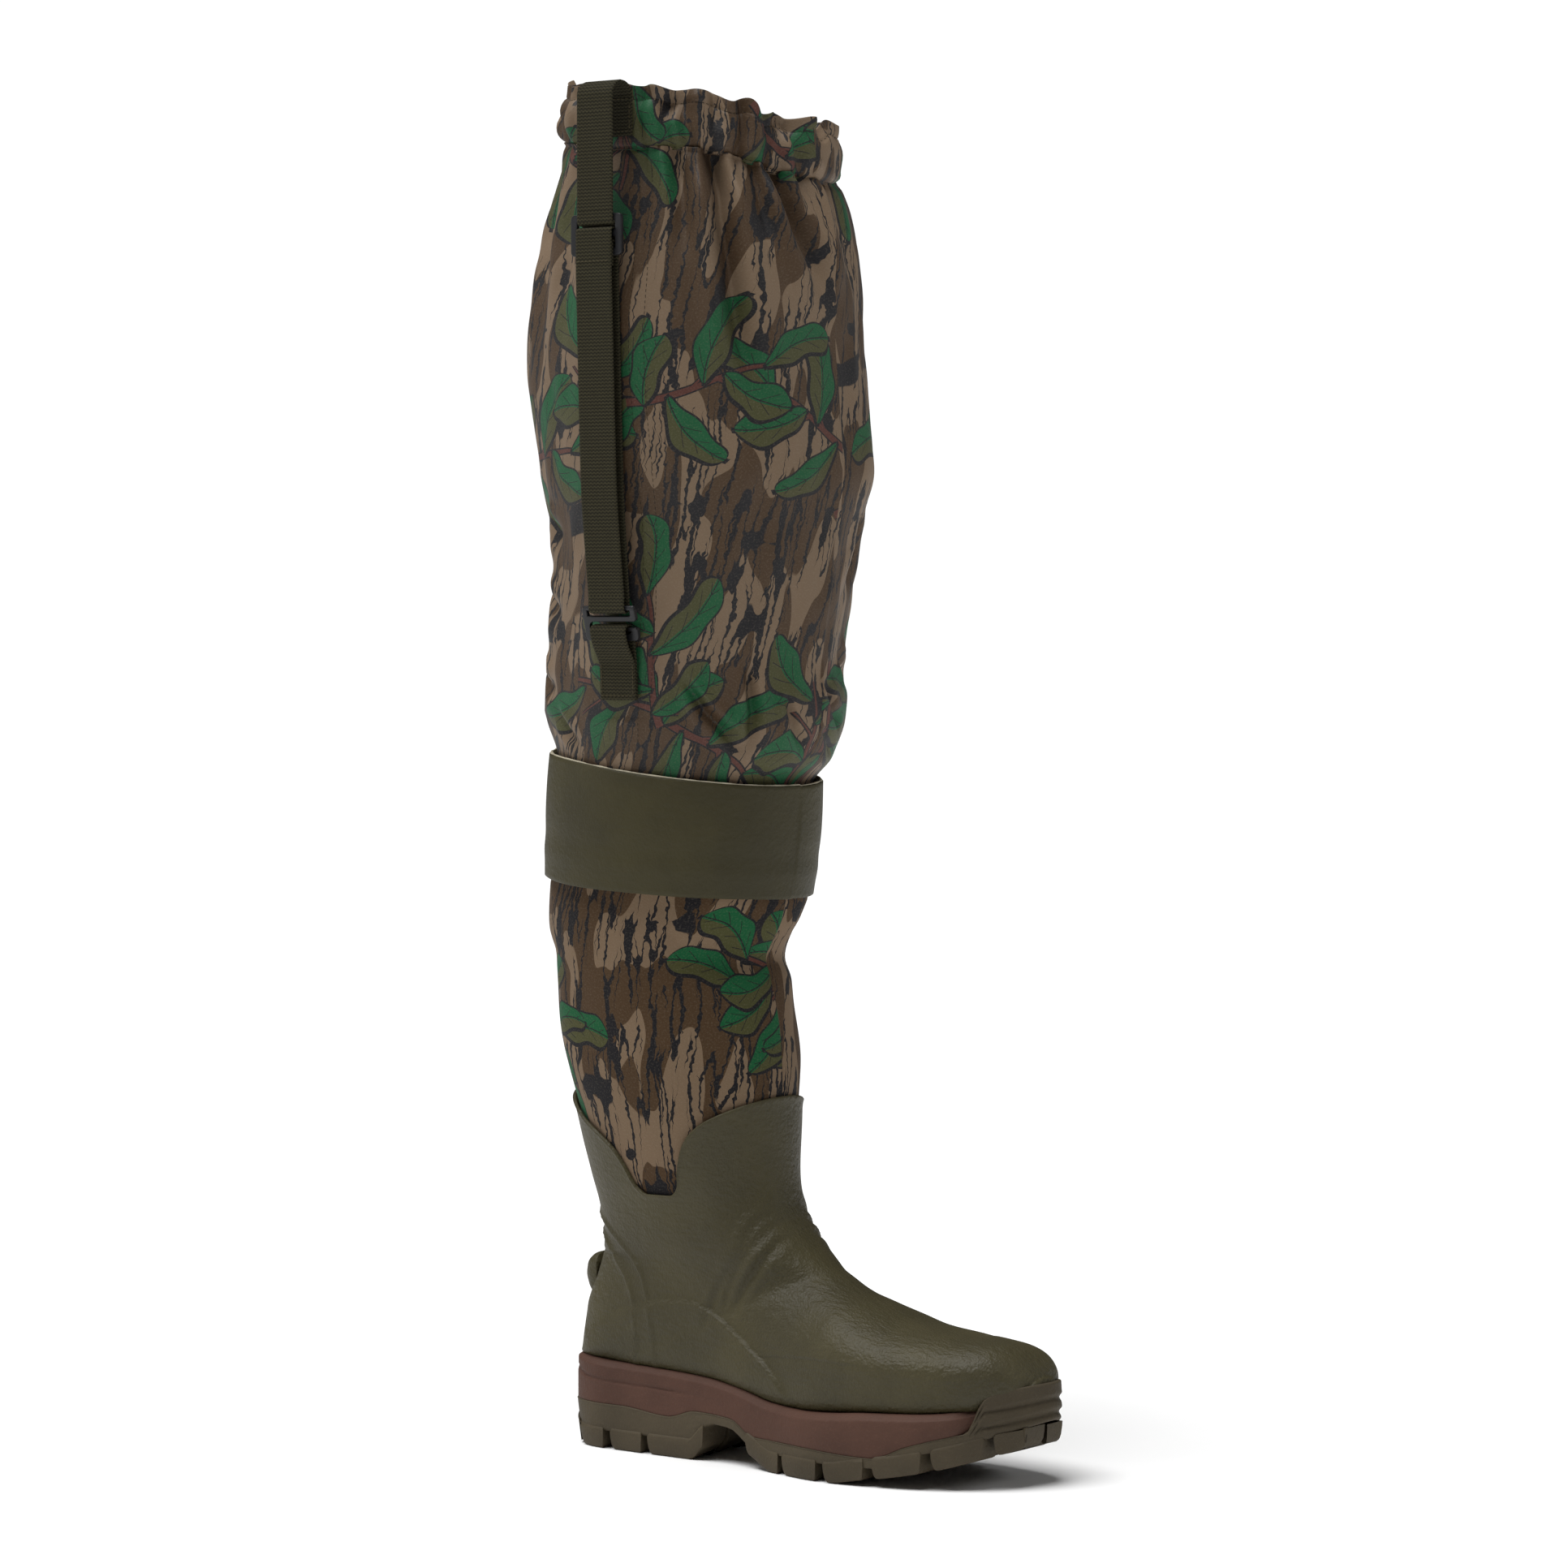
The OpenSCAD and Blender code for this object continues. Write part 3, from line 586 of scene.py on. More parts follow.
LEAVES_A = (
    (-36, -6, 1.2, 42, 9.0, 4), (-22, -4, -0.95, 50, 8.5, -6), (-2, 0, 1.05, 54, 10.5, 5),
    (10, 3, -0.6, 44, 9.0, -4), (34, 4, 0.25, 46, 9.5, 5),
)
LEAVES_B = (
    (-30, 0, 0.8, 38, 9.5, -5), (-6, -2, -1.2, 40, 10.0, 5), (14, 2, 0.9, 48, 8.0, 7),
    (30, 0, -0.45, 52, 10.0, -6),
)


def camouflage(name, rough, spec, sheen):
    """A generic print of bark and leaves on cloth."""
    p = Paint(name, rough, spec, sheen)
    x, y = p.cloth()
    x = x + y * 0.16
    warp = p.noise(p.vec(x * (1 / 55), y * (1 / 80)), color=True)
    wx, wy = x + (warp[0] - 0.5) * 20, y + (warp[1] - 0.5) * 26
    blotch = p.noise(p.vec(wx * (1 / 22), wy * (1 / 58), 3.0), detail=0.6)
    colour = p.mix(blotch.step(0.502, 0.508), TAN, BARK_BROWN)
    jag = p.noise(p.vec(x * (1 / 3.4), y * (1 / 4.4), 7.0), detail=1.0)
    jx = wx + (jag - 0.5) * 4.2
    for across, down, wide, bias, z in ((12, 110, 0.34, 0.43, 1.0), (9, 80, 0.34, 0.455, 5.0), (7, 60, 0.3, 0.49, 9.0)):
        ridge = abs(p.noise(p.vec(jx * (1 / across), wy * (1 / down), z), detail=0.0) - 0.5)
        thick = p.noise(p.vec(jx * (1 / 17), wy * (1 / 44), z + 20), detail=1.0)
        line = ridge - (thick - bias).least(0.105) * wide
        colour = p.mix(1 - line.step(0.0, 0.006), colour, BARK_DARK)
    lx, ly = wx * 0.3 + x * 0.7, wy * 0.3 + y * 0.7
    for cell, shift, shapes, share in ((165.0, 0.31, LEAVES_A, 0.85), (176.0, 2.77, LEAVES_B, 0.8), (190.0, 5.13, LEAVES_A, 0.45)):
        colour = sprigs(p, lx, ly, cell, shift, colour, shapes, share)
    speck = p.noise(p.vec(x * 0.9, y * 0.9), detail=2.0)
    colour = p.mix(speck.step(0.45, 0.8) * 0.07, colour, linear(190, 176, 155))
    p.colour(colour)
    weave = ((x * 4.2).sin() * (y * 4.2 + x * 2.1).sin()) * 0.5 + 0.5
    p.bump(weave.out, 0.00005)
    return p.mat


def rubber(name, colour, rough=0.5, grain=1.0, spec=0.5, dust=0.25):
    """Moulded rubber with a leathery grain and a faint bloom."""
    p = Paint(name, rough, spec)
    x, y, z = p.where()
    at = p.vec(x, y, z)
    large = p.noise(at, 0.022, 3.0)
    fine = p.noise(at, 0.9, 2.0)
    grain_cells = p.cells(p.vec(x * 0.75, y * 0.75, z * 0.5))
    pale = tuple(min(1, c * 1.45 + 0.012) for c in colour[:3]) + (1,)
    deep = tuple(c * 0.74 for c in colour[:3]) + (1,)
    c = p.mix(large.step(0.3, 0.72), deep, colour)
    c = p.mix(fine.step(0.5, 0.85) * dust, c, pale)
    p.colour(c)
    p.roughness(rough - 0.07 + fine * 0.1 + large * 0.08)
    folds = p.noise(p.vec(x * 0.16, y * 0.3, z * 0.3), 1.0, 3.0)
    p.bump((grain_cells * 0.3 + fine * 0.2 + folds * 1.2).out, 0.0008 * grain)
    return p.mat


def webbing(name, colour):
    """Ribbed web: rows across it, and the columns of its threads."""
    p = Paint(name, 0.8, 0.15)
    across, up = p.cloth()
    row = abs((up * (math.pi / 2.0)).sin())
    step = (up * 0.5).fract().above(0.5) * 1.3
    column = abs(((across + step) * (math.pi / 2.6)).sin())
    crest_wear_and_highlight = p.noise(p.vec(across * 0.2, up * 0.05), detail=3.0)
    weave = row * 0.45 + column * 0.55
    # Painted shade: the gaps between the threads, low in the weave's bump, are darkened.
    deep = tuple(c * 0.3 for c in colour[:3]) + (1,)
    pale = tuple(c * 2.1 + 0.003 for c in colour[:3]) + (1,)
    c = p.mix(weave.step(0.2, 0.7), deep, colour)
    # The raised thread crests are lightened unevenly along the web: partly wear, partly painted highlight.
    c = p.mix((row * column).step(0.55, 0.95) * (crest_wear_and_highlight + 0.25), c, pale)
    p.colour(c)
    p.bump(weave.out, 0.00035)
    return p.mat


def plain(name, colour, rough, spec=0.4, metal=0.0, depth=0.00005, size=0.6, spread=0.2, sheen=0.0, coat=0.0):
    """A plain finish with fine grain and slight colour variation."""
    p = Paint(name, rough, spec, sheen, metal, coat)
    x, y, z = p.where()
    at = p.vec(x, y, z)
    fine, broad = p.noise(at, size, 3.0), p.noise(at, size * 0.08, 2.0)
    deep = tuple(c * (1 - spread) for c in colour[:3]) + (1,)
    pale = tuple(min(1, c * (1 + spread) + 0.003) for c in colour[:3]) + (1,)
    c = p.mix(broad.step(0.3, 0.7), deep, colour)
    p.colour(p.mix(fine.step(0.45, 0.85) * 0.5, c, pale))
    p.roughness(rough - 0.05 + fine * 0.1)
    p.bump(fine.out, depth)
    return p.mat


def knitted(name, colour, pitch=0.9):
    """Jersey face: fine columns of loops."""
    p = Paint(name, 0.85, 0.2, sheen=0.3)
    x, y, z = p.where()
    rows = ((z * (6.28 / pitch)).sin() * ((x + y) * (6.28 / pitch)).sin()) * 0.5 + 0.5
    # Painted shade: the hollows between the loops, low in the bump, are darkened.
    deep = tuple(c * 0.6 for c in colour[:3]) + (1,)
    p.colour(p.mix(rows, deep, colour))
    p.bump(rows.out, 0.0001)
    return p.mat


camo_cloth = camouflage("camo_cloth", 0.62, 0.3, 0.02)
camo_neoprene = camouflage("camo_neoprene", 0.85, 0.15, 0.03)
cloth_back = plain("cloth_back", linear(70, 66, 56), 0.6, 0.35, depth=0.00008, size=1.2)
neoprene_back = knitted("neoprene_back", linear(34, 34, 34))
olive = rubber("olive_rubber", linear(67, 61, 36), 0.54, 1.0, 0.36, dust=0.2)
band_olive = rubber("band_rubber", linear(60, 55, 31), 0.55, 0.5, 0.26, dust=0.12)
tread = rubber("tread_rubber", linear(76, 67, 51), 0.66, 0.5, 0.25)
foam = rubber("midsole_foam", linear(83, 57, 46), 0.68, 0.5, 0.25, dust=0.3)
web = webbing("webbing", linear(46, 43, 29))
hardware = plain("hardware", linear(21, 21, 24), 0.42, 0.4, depth=0.00002)
thread = plain("thread", linear(76, 68, 48), 0.75, 0.2, size=3.0)
dark_thread = plain("dark_thread", linear(46, 42, 34), 0.75, 0.2, size=3.0)
glue = plain("glue_line", linear(176, 168, 146), 0.6, 0.3, size=1.5)
tape = plain("seam_tape", linear(40, 40, 40), 0.4, 0.45)
steel = plain("steel", linear(170, 170, 172), 0.35, 0.5, metal=1.0)
board = plain("fibre_board", linear(150, 126, 92), 0.85, 0.2, depth=0.0001)
stiff = plain("stiffener", linear(196, 190, 172), 0.7, 0.3)
foot_cloth = knitted("insole_cloth", linear(52, 52, 50), 1.4)

for node, material in {
    "shank": steel,
    "lasting_board": board,
    "insole": foot_cloth,
    "knee_seam_tape": tape,
}.items():
    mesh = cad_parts[node].data
    mesh.materials.clear()
    mesh.materials.append(material)

# ---------------------------------------------------------------- rubber upper
COLS = 320
FOOT_STEPS = 9
RUBBER_WALL = 2.2


def foot_row(s, count=COLS):
    """One closed section of the foot, evenly spaced, from its top round the outer side."""
    front, back = s[0:2], s[2:4]
    half = np.linalg.norm(front - back) / 2
    u = (front - back) / (2 * half)
    t = np.radians(np.linspace(0, 180, 721))
    n = np.where(np.cos(t) > 0, 2.3, s[6])
    middle = (front + back) / 2
    reach = half * root(np.cos(t), n)
    side = np.stack([middle[0] + u[0] * reach, -s[4] * root(np.sin(t), n), middle[1] + u[1] * reach], axis=1)
    side = evenly(side, count // 2 + 1)
    other = side[1:-1][::-1] * (1, -1, 1)
    return np.concatenate([side, other]) + (0, s[5], 0)


shaft_x, shaft_a, shaft_b = curve(SHAFT_Z, SHAFT_X), curve(SHAFT_Z, SHAFT_A), curve(SHAFT_Z, SHAFT_B)


def shaft_rows(z, inward=0.0, count=COLS):
    """Closed rows of the shaft at heights z, which may differ from column to column."""
    t = np.radians(np.linspace(0, 180, 361))
    z = np.asarray(z, float)
    rows = []
    for level in z.reshape(len(z), -1):
        base = float(level.mean())
        n = 2.4 - 0.3 * smooth(116, 156, base)
        line = np.stack([root(np.cos(t), n) * shaft_a(base), -root(np.sin(t), n) * shaft_b(base)], axis=1)
        even = evenly(line, count // 2 + 1)
        ring = np.concatenate([even, even[1:-1][::-1] * (1, -1)])
        unit = ring / (float(shaft_a(base)), float(shaft_b(base)))
        level = np.broadcast_to(level, count)
        rows.append(
            np.stack(
                [
                    shaft_x(level) + unit[:, 0] * (shaft_a(level) - inward),
                    unit[:, 1] * (shaft_b(level) - inward),
                    level,
                ],
                axis=1,
            )
        )
    return np.array(rows)


def rubber_upper():
    index = np.arange(len(FOOT))
    fine = np.linspace(0, len(FOOT) - 1, (len(FOOT) - 1) * FOOT_STEPS + 1)
    stations = np.stack([curve(index, FOOT[:, k])(fine) for k in range(7)], axis=1)
    foot = np.array([foot_row(s) for s in stations])
    # the rounded end of the toe
    middle = foot[0].mean(axis=0)
    toe = [middle + (foot[0] - middle) * math.sin(a) + (3.4 * math.cos(a), 0, 0) for a in np.radians([8, 25, 45, 65, 80])]
    # up the shaft to the notched edge
    around = shaft_rows([185.0])[0]
    edge = curve(RUBBER_EDGE[:, 0], RUBBER_EDGE[:, 1])(around[:, 0])
    up = np.linspace(0, 1, 46)[1:, None]
    shaft = shaft_rows(116 + up * (edge[None, :] - 116))
    outer = np.concatenate([toe, foot, shaft])

    # ease the turn from the vamp into the shaft
    ease = np.exp(-(((outer[..., 0] - 118) / 34) ** 2) - ((outer[..., 2] - 112) / 22) ** 2)[..., None]
    for _ in range(70):
        near = (np.roll(outer, 1, 1) + np.roll(outer, -1, 1)) / 4
        near[1:-1] += (outer[2:] + outer[:-2]) / 4
        near[[0, -1]] += outer[[0, -1]] / 2
        outer = outer + ease * 0.7 * (near - outer)
    n = outward(outer)
    x, z = outer[..., 0], outer[..., 2]
    sides = smooth(0.15, 0.5, np.abs(n[..., 1]))
    lift = np.zeros(x.shape)
    for line, height, width in [(l, 1.35, 1.25) for l in HEEL_RIBS] + [(l, 0.75, 1.3) for l in HEEL_LOW_RIBS]:
        d, _, along = line_distance(x, z, line)
        lift += height * np.exp(-((d / width) ** 2)) * smooth(0, 0.08, along) * (1 - smooth(0.95, 1, along) * 0.5)
    d, _, _ = line_distance(x, z, [(-50, 140), (-25, 128), (-8, 116), (4, 104), (9, 90), (9, 84)])
    lift -= 0.35 * np.exp(-((d / 4.0) ** 2))
    d, side, along = line_distance(x, z, OVERLAY)
    fade = smooth(0, 0.05, along) * (1 - smooth(0.9, 1, along))
    lift += sides * fade * (0.9 * np.exp(-((d / 1.1) ** 2)) - side * 0.8 * smooth(0, 1.4, d) * np.exp(-((d / 16) ** 2)))
    for line, depth in zip(ANKLE_CREASES, (1.3, 1.5, 1.1)):
        d, _, along = line_distance(x, z, line)
        fade = smooth(0, 0.15, along) * (1 - smooth(0.75, 1, along))
        fade = fade * (0.35 + 0.65 * sides)
        lift -= depth * fade * np.exp(-((d / 2.6) ** 2))
        lift += depth * 0.55 * fade * np.exp(-(((d - 5.2) / 3.4) ** 2))
    d, side, along = line_distance(x, z, VAMP_LINE)
    lift += sides * 0.3 * side * np.exp(-((d / 2.0) ** 2)) * (1 - smooth(0.7, 1, along))
    # toe cap step and the slight bead along the top edge
    top = smooth(66, 80, z)
    lift += 0.55 * smooth(221, 225, x) * (1 - smooth(228, 246, x)) * top
    rows_up = np.concatenate([np.zeros(len(toe) + len(foot)), up[:, 0]])[:, None]
    to_edge = (1 - rows_up) * (edge[None, :] - 116)
    on_shaft = rows_up > 0
    lift += np.where(on_shaft, 0.5 * np.exp(-((to_edge / 1.8) ** 2)), 0)
    uneven = rolling(3, 60)
    lift += 0.3 * uneven(x + 0.6 * outer[..., 1], z)
    keep = np.ones(x.shape)
    keep[: len(toe) + 4] = 0.0
    outer = outer + n * (lift * keep)[..., None]

    inner = (outer - outward(outer) * RUBBER_WALL)[5::3]
    tip = [inner[0] * (1, 1, 1)]
    top_n = outward(outer)[-1]
    lip = [outer[-1] - top_n * f + (0, 0, h) for f, h in ((0.35, 0.35), (1.1, 0.5), (1.9, 0.2))]
    rows = np.concatenate([outer, lip, inner[::-1]])
    return rings("rubber_upper_skin", rows, olive), tip


upper, _ = rubber_upper()
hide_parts("rubber_upper")
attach(upper, "boot")


def kick_tab():
    """Rounded ledge on the heel."""
    profile = evenly([(-44, 86), (-50.6, 87), (-54.3, 91), (-57.2, 99), (-55.8, 107.4), (-50, 112.4), (-44, 112.6)], 40)
    profile = np.array([profile[max(0, i - 2) : i + 3].mean(axis=0) for i in range(40)])
    loops = []
    for y in np.sin(np.radians(np.linspace(-90, 90, 25))) * 16:
        f = (1 - abs(y / 16) ** 3.2) ** 0.42 if abs(y) < 16 else 0.0
        f = max(f, 0.12)
        centre = np.array([-46.0, 99.0])
        p = centre + (profile - centre) * (1, 0.55 + 0.45 * f)
        p[:, 0] = centre[0] + (profile[:, 0] - centre[0]) * f + 0.012 * y * y
        loops.append([(q[0] + 2, y, q[1]) for q in p])
    piece = solid("heel_kick_tab", [loft(loops)], olive)
    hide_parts("kick_tab")
    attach(piece, "boot")


kick_tab()


def tucked(node, material):
    """A hidden stiffener or lining, drawn in to follow the finer shape of the rubber round it."""
    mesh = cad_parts[node].data.copy()
    for v in mesh.vertices:
        x, y, z = v.co / MM
        drop = (0.8 + 5.6 * math.exp(-(((x - 203) / 40) ** 2))) * float(smooth(58, 84, z)) * float(smooth(110, 140, x))
        heel = 4.0 * float(smooth(10, -38, x)) * float(smooth(30, 60, z))
        v.co = Vector((x + heel - 1.5 * float(smooth(220, 250, x)), y * (0.965 - 0.03 * float(smooth(0, -30, x))), z - drop)) * MM
    piece = link(node + "_fitted", mesh, material)
    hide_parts(node)
    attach(piece, "boot")


tucked("heel_counter", stiff)
tucked("toe_puff", stiff)
tucked("foot_lining", neoprene_back)


# ---------------------------------------------------------------- sole
def sole_halves(count=120):
    """Outer and inner side of the sole outline at the same x stations."""
    line = closed_curve(SOLE, 12)
    low, high = line[:, 0].argmin(), line[:, 0].argmax()
    outer = line[low : high + 1] if low < high else np.concatenate([line[low:], line[: high + 1]])
    inner = np.concatenate([line[high:], line[: low + 1]]) if low < high else line[high : low + 1]
    a = np.linspace(0, math.pi, count + 1)
    x = line[low, 0] + (line[high, 0] - line[low, 0]) * (1 - np.cos(a)) / 2
    inner = inner[::-1]
    return x, np.interp(x, *sorted_pair(outer)), np.interp(x, *sorted_pair(inner))


def sorted_pair(line):
    order = np.argsort(line[:, 0], kind="stable")
    return line[order, 0], line[order, 1]


def sole_ring():
    """The sole outline, anticlockwise, with inward normals."""
    x, y_out, y_in = sole_halves()
    ring = np.concatenate([np.stack([x, y_out], 1), np.stack([x, y_in], 1)[1:-1][::-1]])
    edge = np.roll(ring, -1, 0) - np.roll(ring, 1, 0)
    edge /= np.linalg.norm(edge, axis=1, keepdims=True)
    normal = np.stack([-edge[:, 1], edge[:, 0]], axis=1)
    return ring, normal


RING, RING_IN = sole_ring()
ground = curve(GROUND[:, 0], GROUND[:, 1])
sole_top = curve(SOLE_TOP[:, 0], SOLE_TOP[:, 1])
bumper_top = curve(BUMPER_TOP[:, 0], BUMPER_TOP[:, 1])
midsole_top = curve([-60] + FOOT[14::-1, 2].tolist(), [53] + (FOOT[14::-1, 3] + 0.5).tolist())


def closed_prism(name, rows, materials):
    """rings() whose ends are closed by strips across the sole, not by one big face."""
    piece_rows = np.asarray(rows, float)
    c = piece_rows.shape[1]
    half = c // 2
    index = np.arange(piece_rows.shape[0] * c).reshape(piece_rows.shape[:2])
    faces = []
    for k in range(len(piece_rows) - 1):
        a, b = index[k], np.roll(index[k], -1)
        d, e = index[k + 1], np.roll(index[k + 1], -1)
        faces += np.stack([a, b, e, d], axis=1).tolist()
    for end in (index[0], index[-1]):
        for j in range(half):
            quad = [end[j], end[j + 1], end[(c - j - 1) % c], end[(c - j) % c]]
            quad = list(dict.fromkeys(int(q) for q in quad))
            if len(quad) > 2:
                faces.append(quad)
    mesh = bpy.data.meshes.new(name)
    mesh.from_pydata((piece_rows.reshape(-1, 3) * MM).tolist(), [], faces)
    outward_faces(mesh)
    return link(name, mesh, materials)


def sole_rows(insets, heights):
    return [
        np.concatenate([RING + RING_IN * np.reshape(i, (-1, 1)), np.reshape(z, (-1, 1)) * np.ones((len(RING), 1))], axis=1)
        for i, z in zip(insets, heights)
    ]


def bumper_grooves(low, high, f):
    """How deep the two tapering grooves in the toe bumper are at the share f of its height."""
    x = RING[:, 0]
    from_front = (269 - x) + np.abs(RING[:, 1] - 12) * 0.35
    z = low + (high - low) * f
    deep = np.zeros(len(x))
    for front_z, back_z in ((50.5, 44.5), (42.5, 35.5)):
        line = front_z + (back_z - front_z) * np.clip(from_front / 40, 0, 1)
        width = 1.5 * (1 - smooth(12, 48, from_front)) + 0.4
        fade = 1 - smooth(38, 47, from_front)
        deep += 1.5 * fade * np.exp(-(((z - line) / width) ** 2)) - 0.35 * fade * np.exp(-(((z - line - 2.6) / 1.3) ** 2))
    return deep


def outsole():
    x = RING[:, 0]
    lug = 10.5
    low = ground(x) + lug
    high = np.maximum(sole_top(x), np.where(x > 240, bumper_top(x), 0))
    low = np.minimum(low, high - 6)
    bumper = smooth(236, 241, x)
    heel_end = smooth(-26, -54, x)
    insets, heights = [], []
    for inset, rise in ((9, 0.0), (2.6, 0.0), (1.5, 0.3), (0.9, 1.0)):
        insets.append(np.full(len(x), inset))
        heights.append(low + rise)
    for f in np.linspace(0.08, 0.93, 26):
        insets.append(0.7 - 0.35 * math.sin(math.pi * f) + 2.2 * heel_end * (1 - f) + bumper * (bumper_grooves(low, high, f) - 0.2))
        heights.append(low + (high - low) * f)
    for inset, drop in ((0.5, 0.7), (0.8, 0.22), (1.35, 0.0)):
        insets.append(np.full(len(x), inset))
        heights.append(high - drop)
    floor = sole_top(x) - 0.6
    for inset, share in ((3.2, 0.0), (3.75, 0.25), (3.9, 1.0), (12, 1.0)):
        insets.append(np.full(len(x), inset))
        heights.append(high - 0.1 - (high - 0.1 - floor) * share * np.where(x > 240, 1, 0.6))
    base = closed_prism("outsole_body", sole_rows(insets, heights), tread)

    # the lugs, between the grooves
    parts = []
    stops = [-60.0] + [g for g, _ in GROOVES] + [262.0]
    widths = [0.0] + [w * 1.25 for _, w in GROOVES] + [0.0]
    xs, y_out, y_in = sole_halves(400)
    spans = [(stops[i] + widths[i] / 2, stops[i + 1] - widths[i + 1] / 2) for i in range(len(stops) - 1)]
    spans = [(a, b) for a, b in spans if not (a < 60 < b)] + [(17.0, 58.0), (92.0, 119.0)]
    for a, b in spans:
        a, b = max(a, -55.4), min(b, 262.0)
        n = max(6, int((b - a) / 2.5))
        line = np.linspace(a, b, n)
        outer, inner = np.interp(line, xs, y_out), np.interp(line, xs, y_in)
        width = float((inner - outer).mean())
        channel = 3.2 if (a < 40 or 125 < b < 205) else 0.0
        pieces = [(outer, np.minimum(outer + width * 0.3, -channel - 12)), (np.maximum(inner - width * 0.3, channel + 12), inner)]
        pieces.append((pieces[0][1] + 3.4, pieces[1][0] - 3.4))
        for number, (left, right) in enumerate(pieces):
            right = np.maximum(right, left + 2)
            foot = [(px, py) for px, py in zip(line, left)] + [(px, py) for px, py in zip(line[::-1], right[::-1])]
            foot = np.array(foot)
            centre = foot.mean(axis=0)
            span = foot.max(axis=0) - foot.min(axis=0)
            loops = []
            for shrink, z in ((2.9, 0.0), (1.7, 0.35), (1.0, 1.3), (0.35, 3.2), (-0.3, 7.5), (-0.5, 11.0), (0.2, 12.4), (1.4, 13.2)):
                scale = 1 - 2 * shrink / np.maximum(span, 6)
                p = centre + (foot - centre) * scale
                if number == 2:
                    z = min(z, 11.6)
                p[:, 0] += (2.2 + 2.6 * (1 - min(z / 11, 1))) * smooth(-30, -56, p[:, 0])
                height = ground(p[:, 0]) + z + (0.8 if number == 2 and z < 2 else 0.0)
                if number < 2:
                    height = np.minimum(height, np.maximum(sole_top(p[:, 0]), 27) - 2.5) if z > 10 else height
                loops.append([(q[0], q[1], h) for q, h in zip(p, height)])
            parts.append(loft(loops))
    lugs = solid("outsole_lugs", parts, tread)
    bevel = lugs.modifiers.new("soft_edges", "BEVEL")
    bevel.width, bevel.segments, bevel.limit_method = 0.0006, 2, "ANGLE"
    lugs.modifiers.new("shading", "WEIGHTED_NORMAL")
    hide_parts("outsole")
    for piece in (base, lugs):
        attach(piece, "boot")


outsole()


def midsole():
    x = RING[:, 0]
    low, high = sole_top(x) - 0.2, midsole_top(x)
    high = np.maximum(high, low + 2)
    edge = 1.0 + 3.2 * smooth(232, 243, x)
    insets, heights = [], []
    for inset, rise in ((9, 0.2), (2.4, 0.2), (1.6, 0.2), (0.2, 0.25)):
        insets.append(edge + inset)
        heights.append(low + rise)
    for f in np.linspace(0.03, 0.96, 22):
        z = low + (high - low) * f
        heel = 1 - smooth(30, 62, x)
        groove = 1.1 * heel * np.exp(-(((z - (high - 8.6 + 3.0 * smooth(-30, -52, x))) / 0.75) ** 2))
        belly = -0.8 * math.sin(math.pi * f) * smooth(70, 130, x)
        insets.append(edge + groove + belly + 0.25 * heel * (z > high - 8.6))
        heights.append(z)
    for inset, drop in ((0.35, 0.3), (0.9, -0.1), (1.8, -0.7), (3.0, -1.9), (4.4, -2.6), (9, -2.6)):
        insets.append(edge + inset)
        heights.append(high - drop)
    piece = closed_prism("midsole_skin", sole_rows(insets, heights), foam)
    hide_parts("midsole")
    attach(piece, "boot")


midsole()


# ---------------------------------------------------------------- shaft and knee band
def neoprene_shaft():
    z = np.linspace(117, 370, 128)
    outer = shaft_rows(z, RUBBER_WALL + 0.6)
    around = np.linspace(0, 360, COLS + 1)
    n = outward(outer)
    s, h = outer[..., 0], outer[..., 2]
    visible = smooth(200, 240, h) * (1 - smooth(335, 345, h))
    lift = 0.7 * rolling(11, 70)(np.radians(around[:-1])[None, :] * 70, h) * visible
    for line, depth, width in (
        ([(70, 330), (66, 305), (74, 285)], 1.6, 6),
        ([(48, 338), (46, 312), (58, 292), (76, 284)], 1.1, 5),
        ([(79, 318), (62, 296), (40, 286)], 0.9, 6),
        ([(-60, 300), (-40, 285), (-20, 282)], 1.0, 6),
    ):
        d, _, along = line_distance(s, h, line)
        lift -= depth * np.exp(-((d / width) ** 2)) * smooth(0, 0.2, along) * (1 - smooth(0.8, 1, along)) * visible
    lift = np.minimum(lift, 0.8)
    lift = lift + 5.5 * np.exp(-(((h - 327) / 22) ** 2)) * smooth(0.2, 0.95, n[..., 0]) * smooth(347, 337, h)
    outer = outer + n * lift[..., None]
    uv = np.zeros((len(z), COLS + 1, 2))
    uv[..., 0] = (np.radians(around) * 68 * MM)[None, :] + 0.9
    uv[..., 1] = (z * MM)[:, None]
    piece = shell("neoprene_shaft_skin", outer, 3.3, [camo_neoprene, neoprene_back], uv=uv, inner_step=4, inner_index=1)
    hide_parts("neoprene_shaft")
    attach(piece, "boot")


neoprene_shaft()


